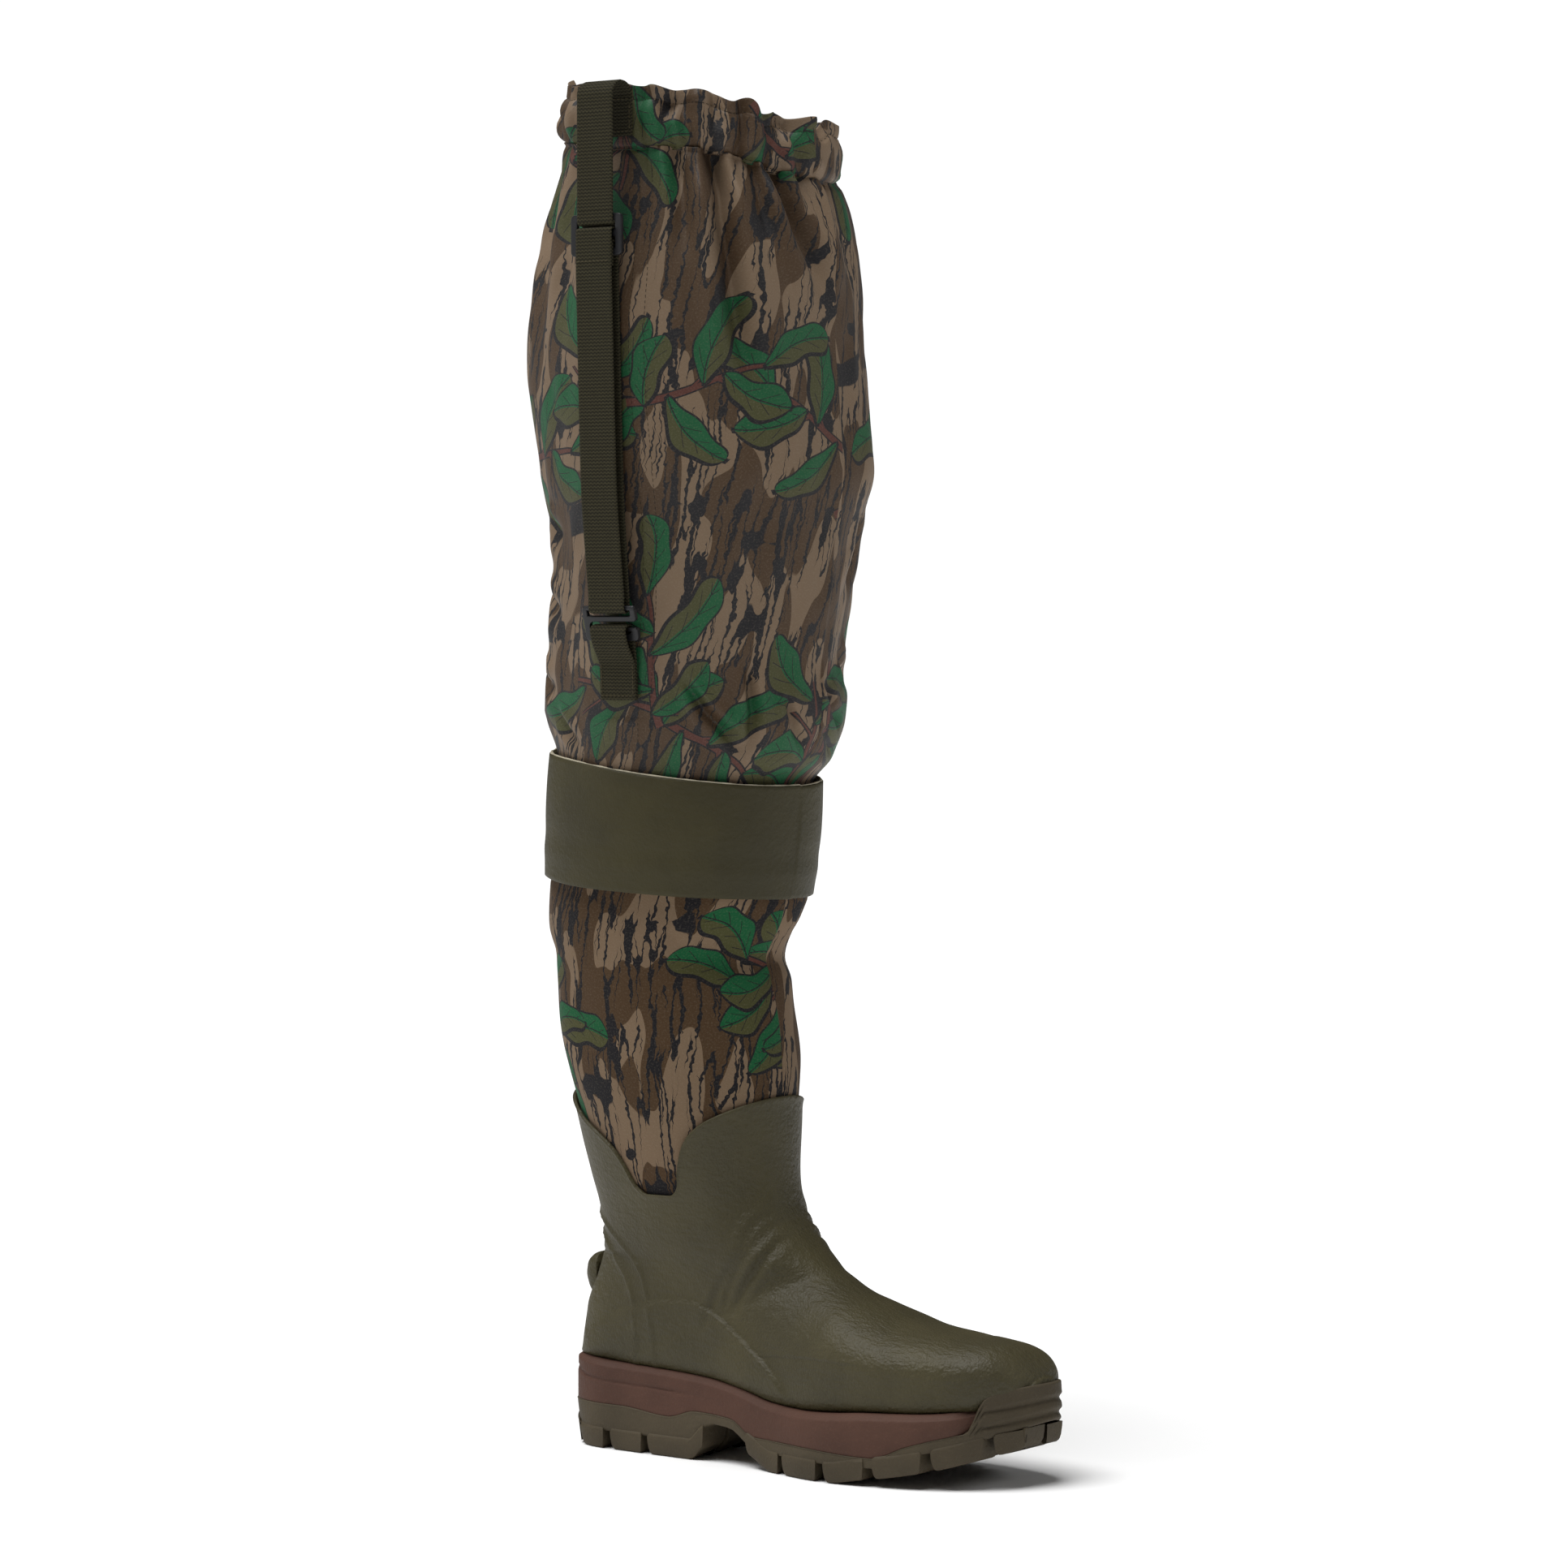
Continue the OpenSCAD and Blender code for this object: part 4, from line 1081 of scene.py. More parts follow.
def knee_band():
    t = np.radians(np.linspace(0, 360, COLS + 1)[:-1])
    f = np.linspace(0, 1, 34)[:, None]
    drift = rolling(5, 130)
    x0 = np.interp(336 + 70 * f, [336, 406], [10, 15.5])
    bulge = 1.2 * np.sin(math.pi * f)
    swell = 0.5 * drift(t[None, :] * 78, f * 70) + 0.35 * np.exp(-(((f - 0.22) / 0.08) ** 2)) - 0.3 * np.exp(-(((f - 0.36) / 0.1) ** 2))
    x = x0 + (82.5 + f + bulge + swell) * np.cos(t)
    y = -(76.5 + f + bulge + swell) * np.sin(t)
    z = 336 + 70 * f - (0.07 + 0.057 * f) * (x - x0)
    z = z + 0.7 * drift(t[None, :] * 78, 500 + 0 * f) * (2 * f - 1)
    outer = np.stack([x, y, z], axis=2)
    n = outward(outer)
    lips = []
    for inward, rise in ((0.5, 0.5), (1.5, 0.75), (2.6, 0.5), (4.2, -0.6), (4.6, -4)):
        lips.append(outer[-1] - n[-1] * inward + (0, 0, rise))
    inner = [outer[k] - n[k] * 3.6 for k in range(len(f) - 4, 3, -3)]
    low = []
    for inward, rise in ((5.4, 5), (5.2, 0.8), (3.0, -0.4), (1.4, -0.55), (0.4, -0.3)):
        low.append(outer[0] - n[0] * inward + (0, 0, rise))
    piece = rings("knee_band_skin", np.concatenate([outer, lips, inner, low]), band_olive, join=True)
    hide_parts("knee_band")
    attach(piece, "boot")
    # the pale line of cement where the band is bonded to the cloth
    rng = np.random.default_rng(4)
    wobble = np.convolve(np.tile(rng.normal(0, 1, COLS), 3), np.ones(5) / 5, "same")[COLS : 2 * COLS]
    bead = []
    for a in np.radians(np.arange(0, 360, 60)):
        size = 0.75 + 0.35 * wobble
        bead.append(
            outer[-1]
            - n[-1] * (1.5 + size * math.cos(a))[:, None]
            + np.stack([0 * t, 0 * t, 0.75 + size * 0.8 * math.sin(a)], axis=1)
        )
    line = rings("knee_band_cement", bead, glue, join=True)
    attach(line, "boot")


knee_band()

# ---------------------------------------------------------------- fabric leg
LEG_COLS = 420
FABRIC = 1.0
leg_x, leg_a, leg_b = curve(LEG_Z, LEG_X), curve(LEG_Z, LEG_A), curve(LEG_Z, LEG_B)
GATHER_RNG = np.random.default_rng(21)
GATHERS = []  # angle, depth, width, reach down the leg
angle = 8.0
while angle < 318:
    if not 80 < angle < 101:
        deep = GATHER_RNG.uniform(0.55, 1.0)
        GATHERS.append((angle, deep, GATHER_RNG.uniform(2.8, 4.8), GATHER_RNG.uniform(22, 85)))
    angle += GATHER_RNG.uniform(7.5, 14.5)
BIG_FOLDS = [  # t, z down the leg, depth, half width
    ([(48, 775), (47, 728), (43, 686), (38, 640), (33, 596)], 11.0, 6.5),
    ([(22, 778), (18, 735), (8, 697), (2, 670)], 9.0, 6.0),
    ([(64, 775), (62, 735), (60, 690)], 4.5, 5.0),
    ([(34, 775), (31, 740), (28, 700)], 5.0, 4.5),
    ([(34, 590), (36, 545), (38, 500), (44, 470)], 2.4, 8.0),
    ([(-8, 770), (-12, 720), (-18, 680)], 3.0, 7.0),
    ([(112, 775), (114, 735), (112, 700), (106, 650)], 3.6, 7.0),
    ([(132, 775), (134, 720), (128, 670), (126, 620)], 4.0, 8.0),
    ([(152, 775), (155, 735), (150, 690)], 3.6, 6.5),
    ([(176, 775), (178, 720), (184, 660), (182, 610)], 4.6, 8.0),
    ([(203, 775), (200, 730), (206, 700)], 3.2, 6.0),
    ([(226, 775), (230, 715), (228, 650)], 4.4, 8.0),
    ([(252, 775), (250, 730), (246, 700)], 3.0, 6.0),
    ([(276, 775), (280, 720), (284, 640), (280, 600)], 4.6, 8.0),
    ([(304, 775), (302, 735), (306, 700)], 3.0, 6.5),
]
CREASES = [  # t, z, depth, half width: folds above the knee band and at the knee
    ([(62, 462), (52, 440), (42, 427), (32, 410)], 2.6, 3.4),
    ([(36, 470), (32, 440), (33, 424), (38, 417)], 3.0, 3.6),
    ([(20, 452), (14, 430), (4, 416)], 2.6, 3.6),
    ([(-2, 460), (-10, 440), (-20, 430)], 2.4, 4.0),
    ([(0, 432), (-14, 420), (-26, 412)], 1.8, 3.0),
    ([(-22, 560), (-26, 535), (-24, 505)], 2.4, 6.0),
    ([(-20, 478), (-28, 462), (-40, 455)], 2.2, 5.0),
    ([(140, 560), (134, 545), (124, 538)], 2.2, 6.0),
    ([(146, 520), (136, 500), (122, 492)], 2.2, 6.0),
    ([(150, 470), (140, 455), (124, 450)], 2.0, 5.0),
    ([(128, 440), (118, 426), (108, 416)], 1.8, 4.0),
    ([(170, 536), (188, 522), (206, 530)], 2.6, 7.0),
    ([(160, 492), (182, 478), (204, 486)], 2.6, 7.0),
    ([(168, 448), (190, 436), (212, 444)], 2.2, 6.0),
    ([(226, 560), (236, 530), (232, 500)], 2.4, 7.0),
    ([(250, 470), (262, 450), (276, 440)], 2.2, 5.0),
    ([(290, 540), (300, 515), (296, 490)], 2.2, 6.0),
    ([(300, 450), (310, 432), (316, 416)], 2.0, 4.0),
]
leg_roll, leg_fine = rolling(31, 120), rolling(32, 26)


def wrap(t, centre):
    return (t - centre + 180) % 360 - 180


def hem_line(t, h=0.0):
    """Height of the hem's lower stitch line at the angle t in degrees."""
    return 763 - 15 * np.cos(np.radians(t)) + 10 * np.exp(-((wrap(t, 52) / 38) ** 2)) + h


def gathers(t, h):
    """Depth of the hem's gathers at angle t, h above the stitch line; below it they fade down the leg."""
    total = np.zeros(np.broadcast(t, h).shape)
    for at, deep, width, reach in GATHERS:
        arc = wrap(t + 1.6 * np.sin(h / 9 + at), at) * 1.45
        spread = width * (1 + 0.035 * np.maximum(-h, 0))
        fade = np.where(h > 0, 0.8 + 0.3 * np.exp(-(((h - 27) / 9) ** 2)), np.exp(np.minimum(h, 0) / (reach * 0.45)))
        total += deep * fade * (5.4 * np.exp(-((arc / spread) ** 2)) + 3.6 * np.exp(-((arc / (2.3 * spread)) ** 2)))
    return total


def crease_field(t, z, folds, shoulder=0.45):
    total = np.zeros(np.broadcast(t, z).shape)
    for line, deep, width in folds:
        mid = sum(p[0] for p in line) / len(line)
        arc = wrap(t, mid) * 1.6
        points = [((p[0] - mid) * 1.6, p[1]) for p in line]
        reach = max(width * 4, 20)
        near = (np.abs(arc) < reach + max(abs(p[0]) for p in points)) & (z < max(p[1] for p in line) + reach) & (z > min(p[1] for p in line) - reach)
        if not near.any():
            continue
        d, _, along = line_distance(np.broadcast_to(arc, total.shape)[near], np.broadcast_to(z, total.shape)[near], points)
        fade = smooth(0, 0.06 if line[0][1] > 760 else 0.3, along + 0.02) * (1 - smooth(0.55, 1, along))
        w = width * (0.75 + 0.6 * along)
        total[near] += deep * fade * (np.exp(-((d / w) ** 2)) - shoulder * np.exp(-(((d - 1.9 * w) / w) ** 2)))
    return total


def leg_lift(t, z):
    """How far the cloth stands out from the CAD surface, in millimetres; t in degrees."""
    h = z - hem_line(t)
    drape = smooth(408, 450, z)
    strap_side = 1 - np.exp(-((wrap(t, 89) / 13) ** 2)) * smooth(520, 560, z)
    tab_side = 1 - np.exp(-((wrap(t, 88) / 13) ** 2)) * (z > 435) * (z < 480) * 0.9
    behind_knee = 1 - 0.45 * smooth(60, 30, np.abs(wrap(t, 180))) * smooth(540, 575, z) * smooth(640, 600, z)
    arc = np.radians(t) * 92
    wide = 2.2 * leg_roll(arc, z * 0.55) + 0.45 * leg_fine(arc, z * 0.6)
    bulge = 3.5 * np.exp(-((wrap(t, -22) / 16) ** 2) - ((z - 572) / 34) ** 2)
    bulge += 2.0 * np.exp(-((wrap(t, 170) / 24) ** 2) - ((z - 640) / 60) ** 2)
    between = 1.4 * smooth(0, -30, h)
    lift = (wide + bulge + between) * drape * strap_side * behind_knee * tab_side
    lift -= crease_field(t, z, BIG_FOLDS) * (0.35 + 0.65 * strap_side)
    lift -= 1.9 * crease_field(t, z, CREASES) * smooth(404, 414, z)
    lift += 5.0 * smooth(397, 412, z) * smooth(472, 432, z) * smooth(78, 36, np.abs(wrap(t, -24)))
    lift -= gathers(t, h) * smooth(-150, -60, h) * (0.25 + 0.75 * strap_side)
    lift -= 2.0 * np.exp(-((h / 3.0) ** 2))
    seam = wrap(t, 76.0) * 1.5
    lift += 0.35 * (np.abs(seam) < 5.5) * smooth(408, 420, z) - 0.5 * np.exp(-((seam / 0.7) ** 2))
    seam = wrap(t, -100.0) * 1.5
    lift += -0.5 * np.exp(-((seam / 0.8) ** 2)) * smooth(408, 420, z)
    return np.clip(lift, -13, 6)


def leg_surface(t, z, extra=0.0):
    """Points of the cloth at angles t in degrees and heights z."""
    t, z = np.broadcast_arrays(np.asarray(t, float), np.asarray(z, float))
    a = np.radians(t)
    r = leg_lift(t, z) + extra
    y0 = np.interp(z, [373, 505], [0, 2])
    return np.stack([leg_x(z) + (leg_a(z) + r) * np.cos(a), y0 - (leg_b(z) + r) * np.sin(a), z], axis=-1)


def arc_uv(grid, v, shift):
    """Cloth coordinates in metres: the distance round each row, without its gathers, and the height."""
    t = np.linspace(0, 2 * math.pi, grid.shape[1] + 1)
    uv = np.zeros((grid.shape[0], grid.shape[1] + 1, 2))
    uv[..., 0] = (t * 94 * MM)[None, :] + shift
    uv[:, :-1, 1] = v * MM
    uv[:, -1, 1] = v[:, 0] * MM
    return uv


def leg_fabric():
    t = np.linspace(0, 360, LEG_COLS + 1)[:-1][None, :]
    f = np.linspace(0, 1, 250)[:, None]
    top = hem_line(t) + 0.6
    z = 373 + f * (top - 373)
    outer = leg_surface(t, z)
    uv = arc_uv(outer, z, 0.0)
    piece = shell("leg_fabric", outer, FABRIC, [camo_cloth, cloth_back], uv=uv, lip=(0.2, 0.2), inner_step=2, inner_index=1)
    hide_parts("leg_front_panel", "leg_back_panel", "knee_front_panel", "knee_back_panel")
    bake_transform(piece)
    return piece


leg = leg_fabric()


def hem():
    t = np.linspace(0, 360, LEG_COLS + 1)[:-1][None, :]
    a = np.radians(t)
    wave = rolling(41, 34)
    h = np.array([-1.0, -0.4, 0.4, 1.5, 3, 5, 7, 9.5, 12, 14.5, 17, 19.5, 22, 24, 25.4, 26.4, 27.4, 28.6, 30.5, 32.6, 33.8])[:, None]
    height = h * (1 + 0.055 * wave(t * 1.45, 0 * t) * (h > 12))
    base_z = 780.0
    strap_side = 1 - np.exp(-((wrap(t, 89) / 12) ** 4))
    puff = 3.0 * np.sin(np.clip(h / 26.4, 0, 1) * math.pi) ** 0.7 * (h < 26.4)
    pinch = 2.2 * np.exp(-((h / 1.5) ** 2)) + 0.55 * np.exp(-(((h - 26.4) / 0.7) ** 2))
    frill = wave(t * 1.45 + 50, h * 0.8) * smooth(20, 32, h) * 2.4
    ripple = (0.8 * wave(t * 1.9, h * 1.2 + 90)) * smooth(0, 6, h)
    r = (puff + frill + ripple) * strap_side - pinch - gathers(t, h) * (0.15 + 0.85 * strap_side) + 0.7
    r = np.where(strap_side < 0.5, np.minimum(r, 0.4), r)
    x = leg_x(base_z) + (leg_a(base_z) + r) * np.cos(a)
    y = 2 - (leg_b(base_z) + r) * np.sin(a)
    z = hem_line(t, height)
    outer = np.stack([x, y, z + 0 * x], axis=2)
    uv = arc_uv(outer, np.broadcast_to(z, x.shape), 0.17)
    inner = outer.copy()
    shrink = 5.0
    inner[..., 0] -= shrink * np.cos(a)
    inner[..., 1] += shrink * np.sin(a)
    top = [outer[-1] * (1 - f) + inner[-1] * f + (0, 0, rise) for f, rise in ((0.06, 0.35), (0.14, 0.4))]
    header = [outer[-1] - (outer[-1] - inner[-1]) * 0.22, outer[-5] - (outer[-5] - inner[-5]) * 0.25]
    drop = [inner[k] for k in (-6, -8, -10, -12, -14, -16, -18, 2, 0)]
    base = [outer[0] - (outer[0] - inner[0]) * f + (0, 0, -0.3) for f in (0.75, 0.3)]
    rows = np.concatenate([outer, top, header, drop, base])
    extra = np.repeat(uv[-1:], len(rows) - len(outer), axis=0)
    extra[..., 1] = rows[len(outer) :, :1, 2] * MM
    piece = rings("hem_casing_skin", rows, camo_cloth, join=True, uv=np.concatenate([uv, extra]))
    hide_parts("hem_casing", "hem_elastic")
    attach(piece, "thigh")
    return outer


hem_rows = hem()


def stitches(name, places, material, length=2.0, radius=0.24):
    """Short raised stitches. places: point, direction and outward normal of each, in millimetres."""
    parts = []
    for point, along, out in places:
        p, d, n = np.array(point, float), np.array(along, float), np.array(out, float)
        d /= np.linalg.norm(d)
        n = n - d * n.dot(d)
        n /= np.linalg.norm(n)
        b = np.cross(d, n)
        loops = []
        for f, size in ((-0.5, 0.35), (-0.32, 0.9), (0, 1.0), (0.32, 0.9), (0.5, 0.35)):
            ring = []
            for k in np.radians(np.arange(0, 360, 60)):
                ring.append(p + d * length * f + (b * math.cos(k) + n * math.sin(k)) * radius * size + n * radius * (0.4 - abs(f)))
            loops.append(ring)
        parts.append(loft(loops))
    return solid(name, parts, material)


def seam_stitches():
    rows = []
    for t0 in (73.4, 78.8):
        z = np.arange(420, 757, 3.2)
        p = leg_surface(t0, z, 0.05)
        for k in range(1, len(z) - 1):
            d = p[k + 1] - p[k - 1]
            rows.append((p[k], d, (math.cos(math.radians(t0)), -math.sin(math.radians(t0)), 0)))
    piece = stitches("side_seam_stitches", rows, dark_thread, 2.0, 0.17)
    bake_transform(piece)
    rows = []
    for row, count in ((2, 190), (15, 190)):
        ring = hem_rows[row]
        pick = np.linspace(0, len(ring), count, endpoint=False).astype(int)
        for k in pick:
            d = ring[(k + 1) % len(ring)] - ring[k - 1]
            out = ring[k] - ring.mean(axis=0)
            rows.append((ring[k], d, (out[0], out[1], 0)))
    piece = stitches("hem_stitches", rows, dark_thread, 1.9, 0.2)
    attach(piece, "thigh")


seam_stitches()


def seam_tape(node, centre):
    """Heat-sealed tape over a seam, on the inside of the cloth."""
    low, high = (v[2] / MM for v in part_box(node))
    z = np.linspace(low, min(high, 756), 150)[:, None]
    t = centre + np.linspace(-6.2, 6.2, 13)[None, :]
    face = leg_surface(t, z, -FABRIC - 0.15)
    back = leg_surface(t, z, -FABRIC - 0.5)[:, ::-1]
    piece = rings(node + "_strip", np.concatenate([face, back], axis=1), tape)
    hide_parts(node)
    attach(piece, "thigh")


seam_tape("seam_tape_lateral", 76.0)
seam_tape("seam_tape_medial", -100.0)

# ---------------------------------------------------------------- strap
STRAP_X, WEB_W, WEB_T = 23.0, 26.0, 1.2
TOP_Y, BACK_Y, FRONT_Y, TAIL_Y, SEWN_Y = -97.2, -91.8, -98.4, -97.1, -78.9
SLIDER_Y, SLIDER_Z = -95.2, 715.7
HOOK_X, HOOK_Y, HOOK_Z, HOOK_TILT = 28.0, -91.0, 500.0, math.radians(15)


def rounded(points, radius):
    """A line of y, z points with its corners rounded."""
    p = [np.array(q, float) for q in points]
    out = [p[0]]
    for a, b, c in zip(p[:-2], p[1:-1], p[2:]):
        cut_a = min(radius, np.linalg.norm(b - a) / 2.02)
        cut_c = min(radius, np.linalg.norm(c - b) / 2.02)
        s, e = b + (a - b) / np.linalg.norm(a - b) * cut_a, b + (c - b) / np.linalg.norm(c - b) * cut_c
        for f in np.linspace(0, 1, 9):
            out.append(s * (1 - f) ** 2 + b * 2 * f * (1 - f) + e * f * f)
    return np.array(out + [p[-1]])


def ribbon(name, line, centre=STRAP_X, thick=WEB_T, start=0.0, side=None, twist=None, width=WEB_W):
    """Ribbed web along a line of y, z points. centre: x, or a function of z. start: millimetres of web before this piece."""
    line = np.asarray(line, float)
    s = np.concatenate([[0], np.cumsum(np.linalg.norm(np.diff(line, axis=0), axis=1))])
    count = max(8, int(s[-1] / 0.5))
    at = np.linspace(0, s[-1], count)
    p = np.stack([np.interp(at, s, line[:, k]) for k in (0, 1)], axis=1)
    d = np.gradient(p, axis=0)
    d /= np.linalg.norm(d, axis=1, keepdims=True)
    normal = np.stack([-d[:, 1], d[:, 0]], axis=1)
    middle = np.array([centre(z) if callable(centre) else centre for z in p[:, 1]], float)
    across = np.linspace(-width / 2, width / 2, 21)
    edge = np.abs(across) / (width / 2)
    rib = 0.16 * np.abs(np.sin(math.pi * (at + start) / 2.0))[:, None] * (1 - smooth(0.9, 0.97, edge))[None, :]
    selvage = 0.10 * smooth(0.88, 0.93, edge)[None, :] * (1 + np.sin(2 * math.pi * (at + start) / 2.0))[:, None] * 0.6
    height = (thick / 2 - 0.1 + rib + selvage) * (1 - 0.55 * smooth(0.97, 1.0, edge))[None, :]
    turn = np.zeros(count) if twist is None else twist(p[:, 1])
    rows = np.zeros((count, 2 * len(across), 3))
    uv = np.zeros((count, 2 * len(across) + 1, 2))
    for face, sign in ((0, 1), (1, -1)):
        order = slice(None) if face == 0 else slice(None, None, -1)
        w = across[order]
        cols = slice(face * len(w), (face + 1) * len(w))
        tilt = w[None, :] * np.sin(turn)[:, None]
        rows[:, cols, 0] = middle[:, None] + w[None, :] * np.cos(turn)[:, None]
        for k in (0, 1):
            rows[:, cols, 1 + k] = p[:, k : k + 1] + normal[:, k : k + 1] * (sign * height[:, order] + tilt)
        uv[:, cols, 0] = (w * MM)[None, :]
    uv[:, -1, 0] = uv[:, 0, 0]
    uv[..., 1] = ((at + start) * MM)[:, None]
    return rings(name, rows, web, uv=uv)


def hook_drift(z):
    return STRAP_X + (HOOK_X - STRAP_X) * float(np.clip((SLIDER_Z - 22 - z) / (SLIDER_Z - 29 - HOOK_Z), 0, 1))


def on_hook(y, z):
    c, s = math.cos(HOOK_TILT), math.sin(HOOK_TILT)
    return (HOOK_Y + y * c - z * s, HOOK_Z + y * s + z * c)


def straps():
    turn = [(-88.05 + 9.15 * math.cos(a), 795 + 8.6 * math.sin(a)) for a in np.radians(np.linspace(4, 176, 40))]
    loop = ribbon("strap_loop", [(SEWN_Y, 772.5)] + [(SEWN_Y, 794.5)] + turn + [(TOP_Y, 794.5), (TOP_Y, 785.9)])
    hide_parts("strap_top_end")
    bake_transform(loop)
    top = ribbon("strap_top_length", [(TOP_Y, 786.1), (TOP_Y, SLIDER_Z + 12.9)], start=1.0)
    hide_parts("strap_top_run")
    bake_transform(top)
    weave = ribbon(
        "strap_through_slider",
        rounded([(TOP_Y, SLIDER_Z + 13.2), (TOP_Y, SLIDER_Z + 5.3), (BACK_Y, SLIDER_Z + 5.3), (BACK_Y, SLIDER_Z - 16.2)], 2.4),
    )
    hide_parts("slider_weave")
    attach(weave, "slider")
    wrap_line = [
        (FRONT_Y, SLIDER_Z - 22.2), (FRONT_Y, SLIDER_Z + 3.0), (-93.25, SLIDER_Z + 3.0),
        (-93.25, SLIDER_Z - 4.3), (TAIL_Y, SLIDER_Z - 4.3), (TAIL_Y, SLIDER_Z - 18.7),
    ]
    fold = ribbon("strap_end_on_slider", rounded(wrap_line, 1.9), start=0.6)
    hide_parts("slider_wrap")
    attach(fold, "slider")
    front_line = [(HOOK_Y - 2.5, HOOK_Z + 7.0), (FRONT_Y + 0.4, 560), (FRONT_Y, 585), (FRONT_Y, SLIDER_Z - 22.0)]
    front = ribbon("strap_front_length", rounded(front_line, 30), centre=hook_drift)
    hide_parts("strap_front_run")
    back_line = [(HOOK_Y + 2.5, HOOK_Z + 7.0), (BACK_Y + 0.3, 560), (BACK_Y, 585), (BACK_Y, SLIDER_Z - 16.0)]
    back = ribbon("strap_back_length", rounded(back_line, 30), centre=hook_drift)
    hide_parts("strap_back_run")
    for piece in (front, back):
        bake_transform(piece)
    under = [(HOOK_Y + 2.5 * math.cos(a), HOOK_Z + 2.5 * math.sin(a)) for a in np.radians(np.linspace(180, 360, 40))]
    turn = ribbon("strap_turn_on_hook", [(HOOK_Y - 2.5, HOOK_Z + 7.2)] + under + [(HOOK_Y + 2.5, HOOK_Z + 7.2)], centre=HOOK_X)
    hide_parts("hook_wrap")
    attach(turn, "strap")
    tab_line = [
        (-82.05, 446.8), (-82.85, 468), on_hook(-4.7, -20), on_hook(-4.7, -10), on_hook(2.7, -10),
        on_hook(2.7, -20), (-81.5, 468), (-80.8, 446.9),
    ]
    tab = ribbon("lower_tab_web", rounded(tab_line, 3.6), centre=HOOK_X)
    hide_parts("lower_tab")
    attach(tab, "thigh")

    def across(z, y, x, span=21.5, pitch=2.9):
        return [((x + w, y, z), (1, 0, 0), (0, -1, 0)) for w in np.arange(-span / 2, span / 2 + 0.1, pitch)]

    rows = across(449.2, -82.9, HOOK_X) + across(470.5, -84.0, HOOK_X)
    for side in (-1, 1):
        rows += [((HOOK_X + side * 11.4, -82.85 - (z - 449) * 0.037, z), (0, -0.037, 1), (0, -1, 0)) for z in np.arange(451.5, 469, 2.9)]
    piece = stitches("tab_stitches", rows, thread, 2.2, 0.28)
    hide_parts("tab_stitching")
    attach(piece, "thigh")
    rows = across(775.5, SEWN_Y - 0.75, STRAP_X) + across(794, SEWN_Y - 0.75, STRAP_X)
    for side in (-1, 1):
        rows += [((STRAP_X + side * 11.4, SEWN_Y - 0.75, z), (0, 0, 1), (0, -1, 0)) for z in np.arange(778, 792.5, 2.9)]
    piece = stitches("loop_stitches", rows, thread, 2.2, 0.28)
    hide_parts("top_stitching")
    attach(piece, "thigh")
    piece = stitches("strap_end_stitches", across(SLIDER_Z - 15.9, FRONT_Y - 0.75, STRAP_X), thread, 2.2, 0.26)
    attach(piece, "slider")


straps()


def outline_part(points, holes, thick, bevel, name, material):
    """A flat part cut from an outline in x, z with rounded edges, standing in the x-z plane at y = 0."""
    data = bpy.data.curves.new(name, "CURVE")
    data.dimensions, data.fill_mode = "2D", "BOTH"
    data.extrude, data.bevel_depth, data.bevel_resolution = (thick / 2 - bevel) * MM, bevel * MM, 2
    data.offset = -bevel * MM
    for loop in [points] + list(holes):
        spline = data.splines.new("POLY")
        spline.points.add(len(loop) - 1)
        for q, (x, z) in zip(spline.points, loop):
            q.co = (x * MM, z * MM, 0, 1)
        spline.use_cyclic_u = True
    temp = bpy.data.objects.new(name + "_curve", data)
    bpy.context.scene.collection.objects.link(temp)
    mesh = bpy.data.meshes.new_from_object(temp.evaluated_get(bpy.context.evaluated_depsgraph_get()))
    bpy.data.objects.remove(temp)
    bm = bmesh.new()
    bm.from_mesh(mesh)
    bmesh.ops.remove_doubles(bm, verts=bm.verts, dist=1e-6)
    bmesh.ops.recalc_face_normals(bm, faces=bm.faces)
    bm.to_mesh(mesh)
    bm.free()
    mesh.materials.clear()
    obj = link(name, mesh, material, smooth_faces=False)
    for poly in mesh.polygons:
        poly.use_smooth = True
    obj.modifiers.new("shading", "WEIGHTED_NORMAL").keep_sharp = True
    return obj


def round_corners(points, radius):
    """A closed outline with rounded corners; radius is one number or one per corner."""
    p = [np.array(q, float) for q in points]
    radii = [radius] * len(p) if isinstance(radius, (int, float)) else radius
    out = []
    for i, (b, r) in enumerate(zip(p, radii)):
        a, c = p[i - 1], p[(i + 1) % len(p)]
        la, lc = np.linalg.norm(a - b), np.linalg.norm(c - b)
        cut = min(r, la / 2.05, lc / 2.05)
        s, e = b + (a - b) / la * cut, b + (c - b) / lc * cut
        for f in np.linspace(0, 1, 7):
            out.append(s * (1 - f) ** 2 + b * 2 * f * (1 - f) + e * f * f)
    return out


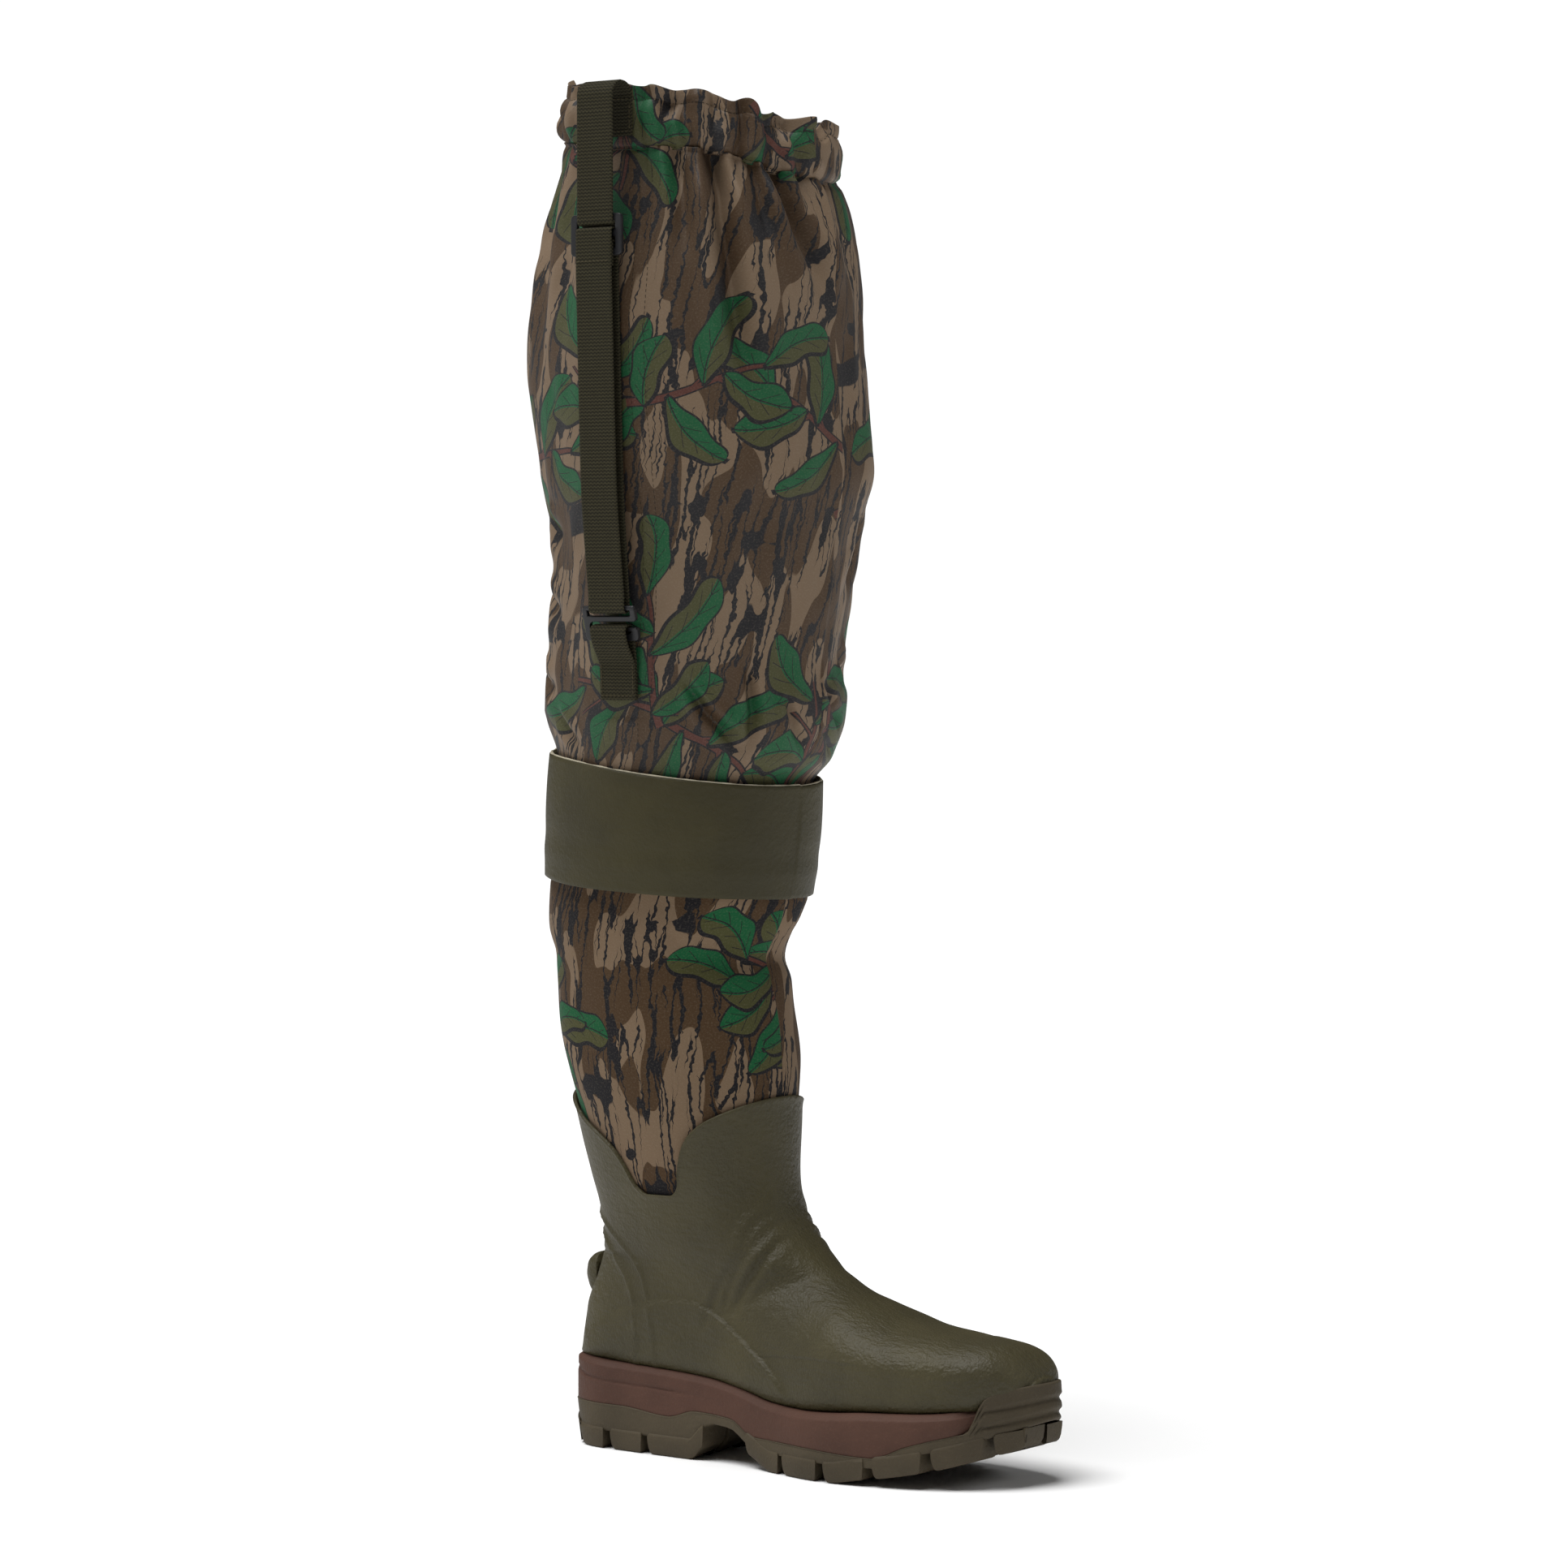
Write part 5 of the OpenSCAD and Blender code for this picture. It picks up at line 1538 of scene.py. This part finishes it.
def buckles():
    from mathutils import Matrix

    def box(x0, x1, z0, z1):
        return [(x0, z0), (x1, z0), (x1, z1), (x0, z1)]

    frame_piece = outline_part(
        round_corners(box(-18.5, 18.5, -12.7, 11.3), 3.2),
        [round_corners(box(-13.8, 13.8, 1.8, 7.3), 1.0), round_corners(box(-13.8, 13.8, -8.7, -1.7), 1.0)],
        2.4, 0.55, "slider_frame", hardware,
    )
    frame_piece.data.transform(Matrix.Translation((STRAP_X * MM, SLIDER_Y * MM, SLIDER_Z * MM)) @ Matrix.Rotation(math.pi / 2, 4, "X"))
    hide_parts("tri_glide")
    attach(frame_piece, "slider")
    outline = [
        (-19, 0), (-15.8, 0), (-15.8, -4.6 + 1.4), (-15.8, -4.6), (15.6, -4.6), (15.6, -0.2), (19, -0.2), (19, -7.8), (13.5, -7.8),
        (-13.4, -7.8), (-15.0, -9.6), (-15.0, -13.4), (-13.4, -15.2), (13.2, -15.2), (14.9, -13.6), (12.5, -13.6), (12.5, -11.3),
        (19, -11.3), (19, -19.2), (-19, -19.2),
    ]
    radii = [1.0, 0.6, 0.1, 1.1, 1.1, 0.8, 1.0, 2.4, 0.3, 1.0, 1.0, 1.0, 1.0, 0.7, 0.4, 0.5, 0.6, 1.8, 3.0, 3.2]
    body = outline_part(round_corners(outline, radii), [], 3.0, 0.5, "hook_body", hardware)
    place = (
        Matrix.Translation((HOOK_X * MM, HOOK_Y * MM, HOOK_Z * MM))
        @ Matrix.Rotation(HOOK_TILT, 4, "X")
        @ Matrix.Rotation(math.pi / 2, 4, "X")
    )
    body.data.transform(place)
    # round bar that the web turns on
    loops = []
    for x, r in ((-18.6, 0.9), (-18.2, 1.4), (-17.6, 1.5), (17.6, 1.5), (18.2, 1.4), (18.6, 0.9)):
        loops.append([(HOOK_X + x, HOOK_Y + r * math.cos(a), HOOK_Z + r * math.sin(a)) for a in np.radians(np.arange(0, 360, 15))])
    bar = solid("hook_bar", [loft(loops)], hardware)
    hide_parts("g_hook")
    for piece in (body, bar):
        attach(piece, "hook")


buckles()

# ---------------------------------------------------------------- floor and light
AMBIENT = 0.07
floor_mesh = bpy.data.meshes.new("floor")
floor_mesh.from_pydata([(-12, -12, 0), (12, -12, 0), (12, 12, 0), (-12, 12, 0)], [], [(0, 1, 2, 3)])
floor = bpy.data.objects.new("floor", floor_mesh)
bpy.context.scene.collection.objects.link(floor)
floor_paint = Paint("floor_white", 0.9, 0.0)
fx, fy, fz = floor_paint.where()
faint = floor_paint.noise(floor_paint.vec(fx, fy, fz), 0.01)
floor_paint.colour(floor_paint.mix(faint, (0.93, 0.93, 0.93, 1), (0.96, 0.96, 0.96, 1)))
floor_mesh.materials.append(floor_paint.mat)

# The camera sees a white studio; the object is lit by a dimmer one, so its own colours stay deep.
world = bpy.data.worlds.new("studio")
bpy.context.scene.world = world
world.use_nodes = True
tree = world.node_tree
seen = tree.nodes["Background"]
seen.inputs["Color"].default_value = (1, 1, 1, 1)
seen.inputs["Strength"].default_value = 1.05
lit = tree.nodes.new("ShaderNodeBackground")
lit.inputs["Color"].default_value = (1, 1, 1, 1)
lit.inputs["Strength"].default_value = AMBIENT
either = tree.nodes.new("ShaderNodeMixShader")
tree.links.new(tree.nodes.new("ShaderNodeLightPath").outputs["Is Camera Ray"], either.inputs[0])
tree.links.new(lit.outputs[0], either.inputs[1])
tree.links.new(seen.outputs[0], either.inputs[2])
tree.links.new(either.outputs[0], tree.nodes["World Output"].inputs["Surface"])


def lamp(name, kind, place, target, power, size):
    data = bpy.data.lights.new(name, kind)
    data.energy = power
    if kind == "SUN":
        data.angle = math.radians(size)
    else:
        data.shape, data.size = "DISK", size
    obj = bpy.data.objects.new(name, data)
    obj.location = place
    obj.rotation_euler = (Vector(target) - Vector(place)).to_track_quat("-Z", "Y").to_euler()
    bpy.context.scene.collection.objects.link(obj)


lamp("overhead", "SUN", (-0.15, -0.26, 1.0), (0, 0, 0), 3.7, 44)
lamp("left", "AREA", (-1.7, -1.1, 1.0), (0.05, 0, 0.45), 4.5, 0.8)
lamp("right", "AREA", (1.9, 0.9, 1.3), (0.05, 0, 0.45), 6, 0.8)
scene = bpy.context.scene
scene.view_settings.view_transform = "Standard"
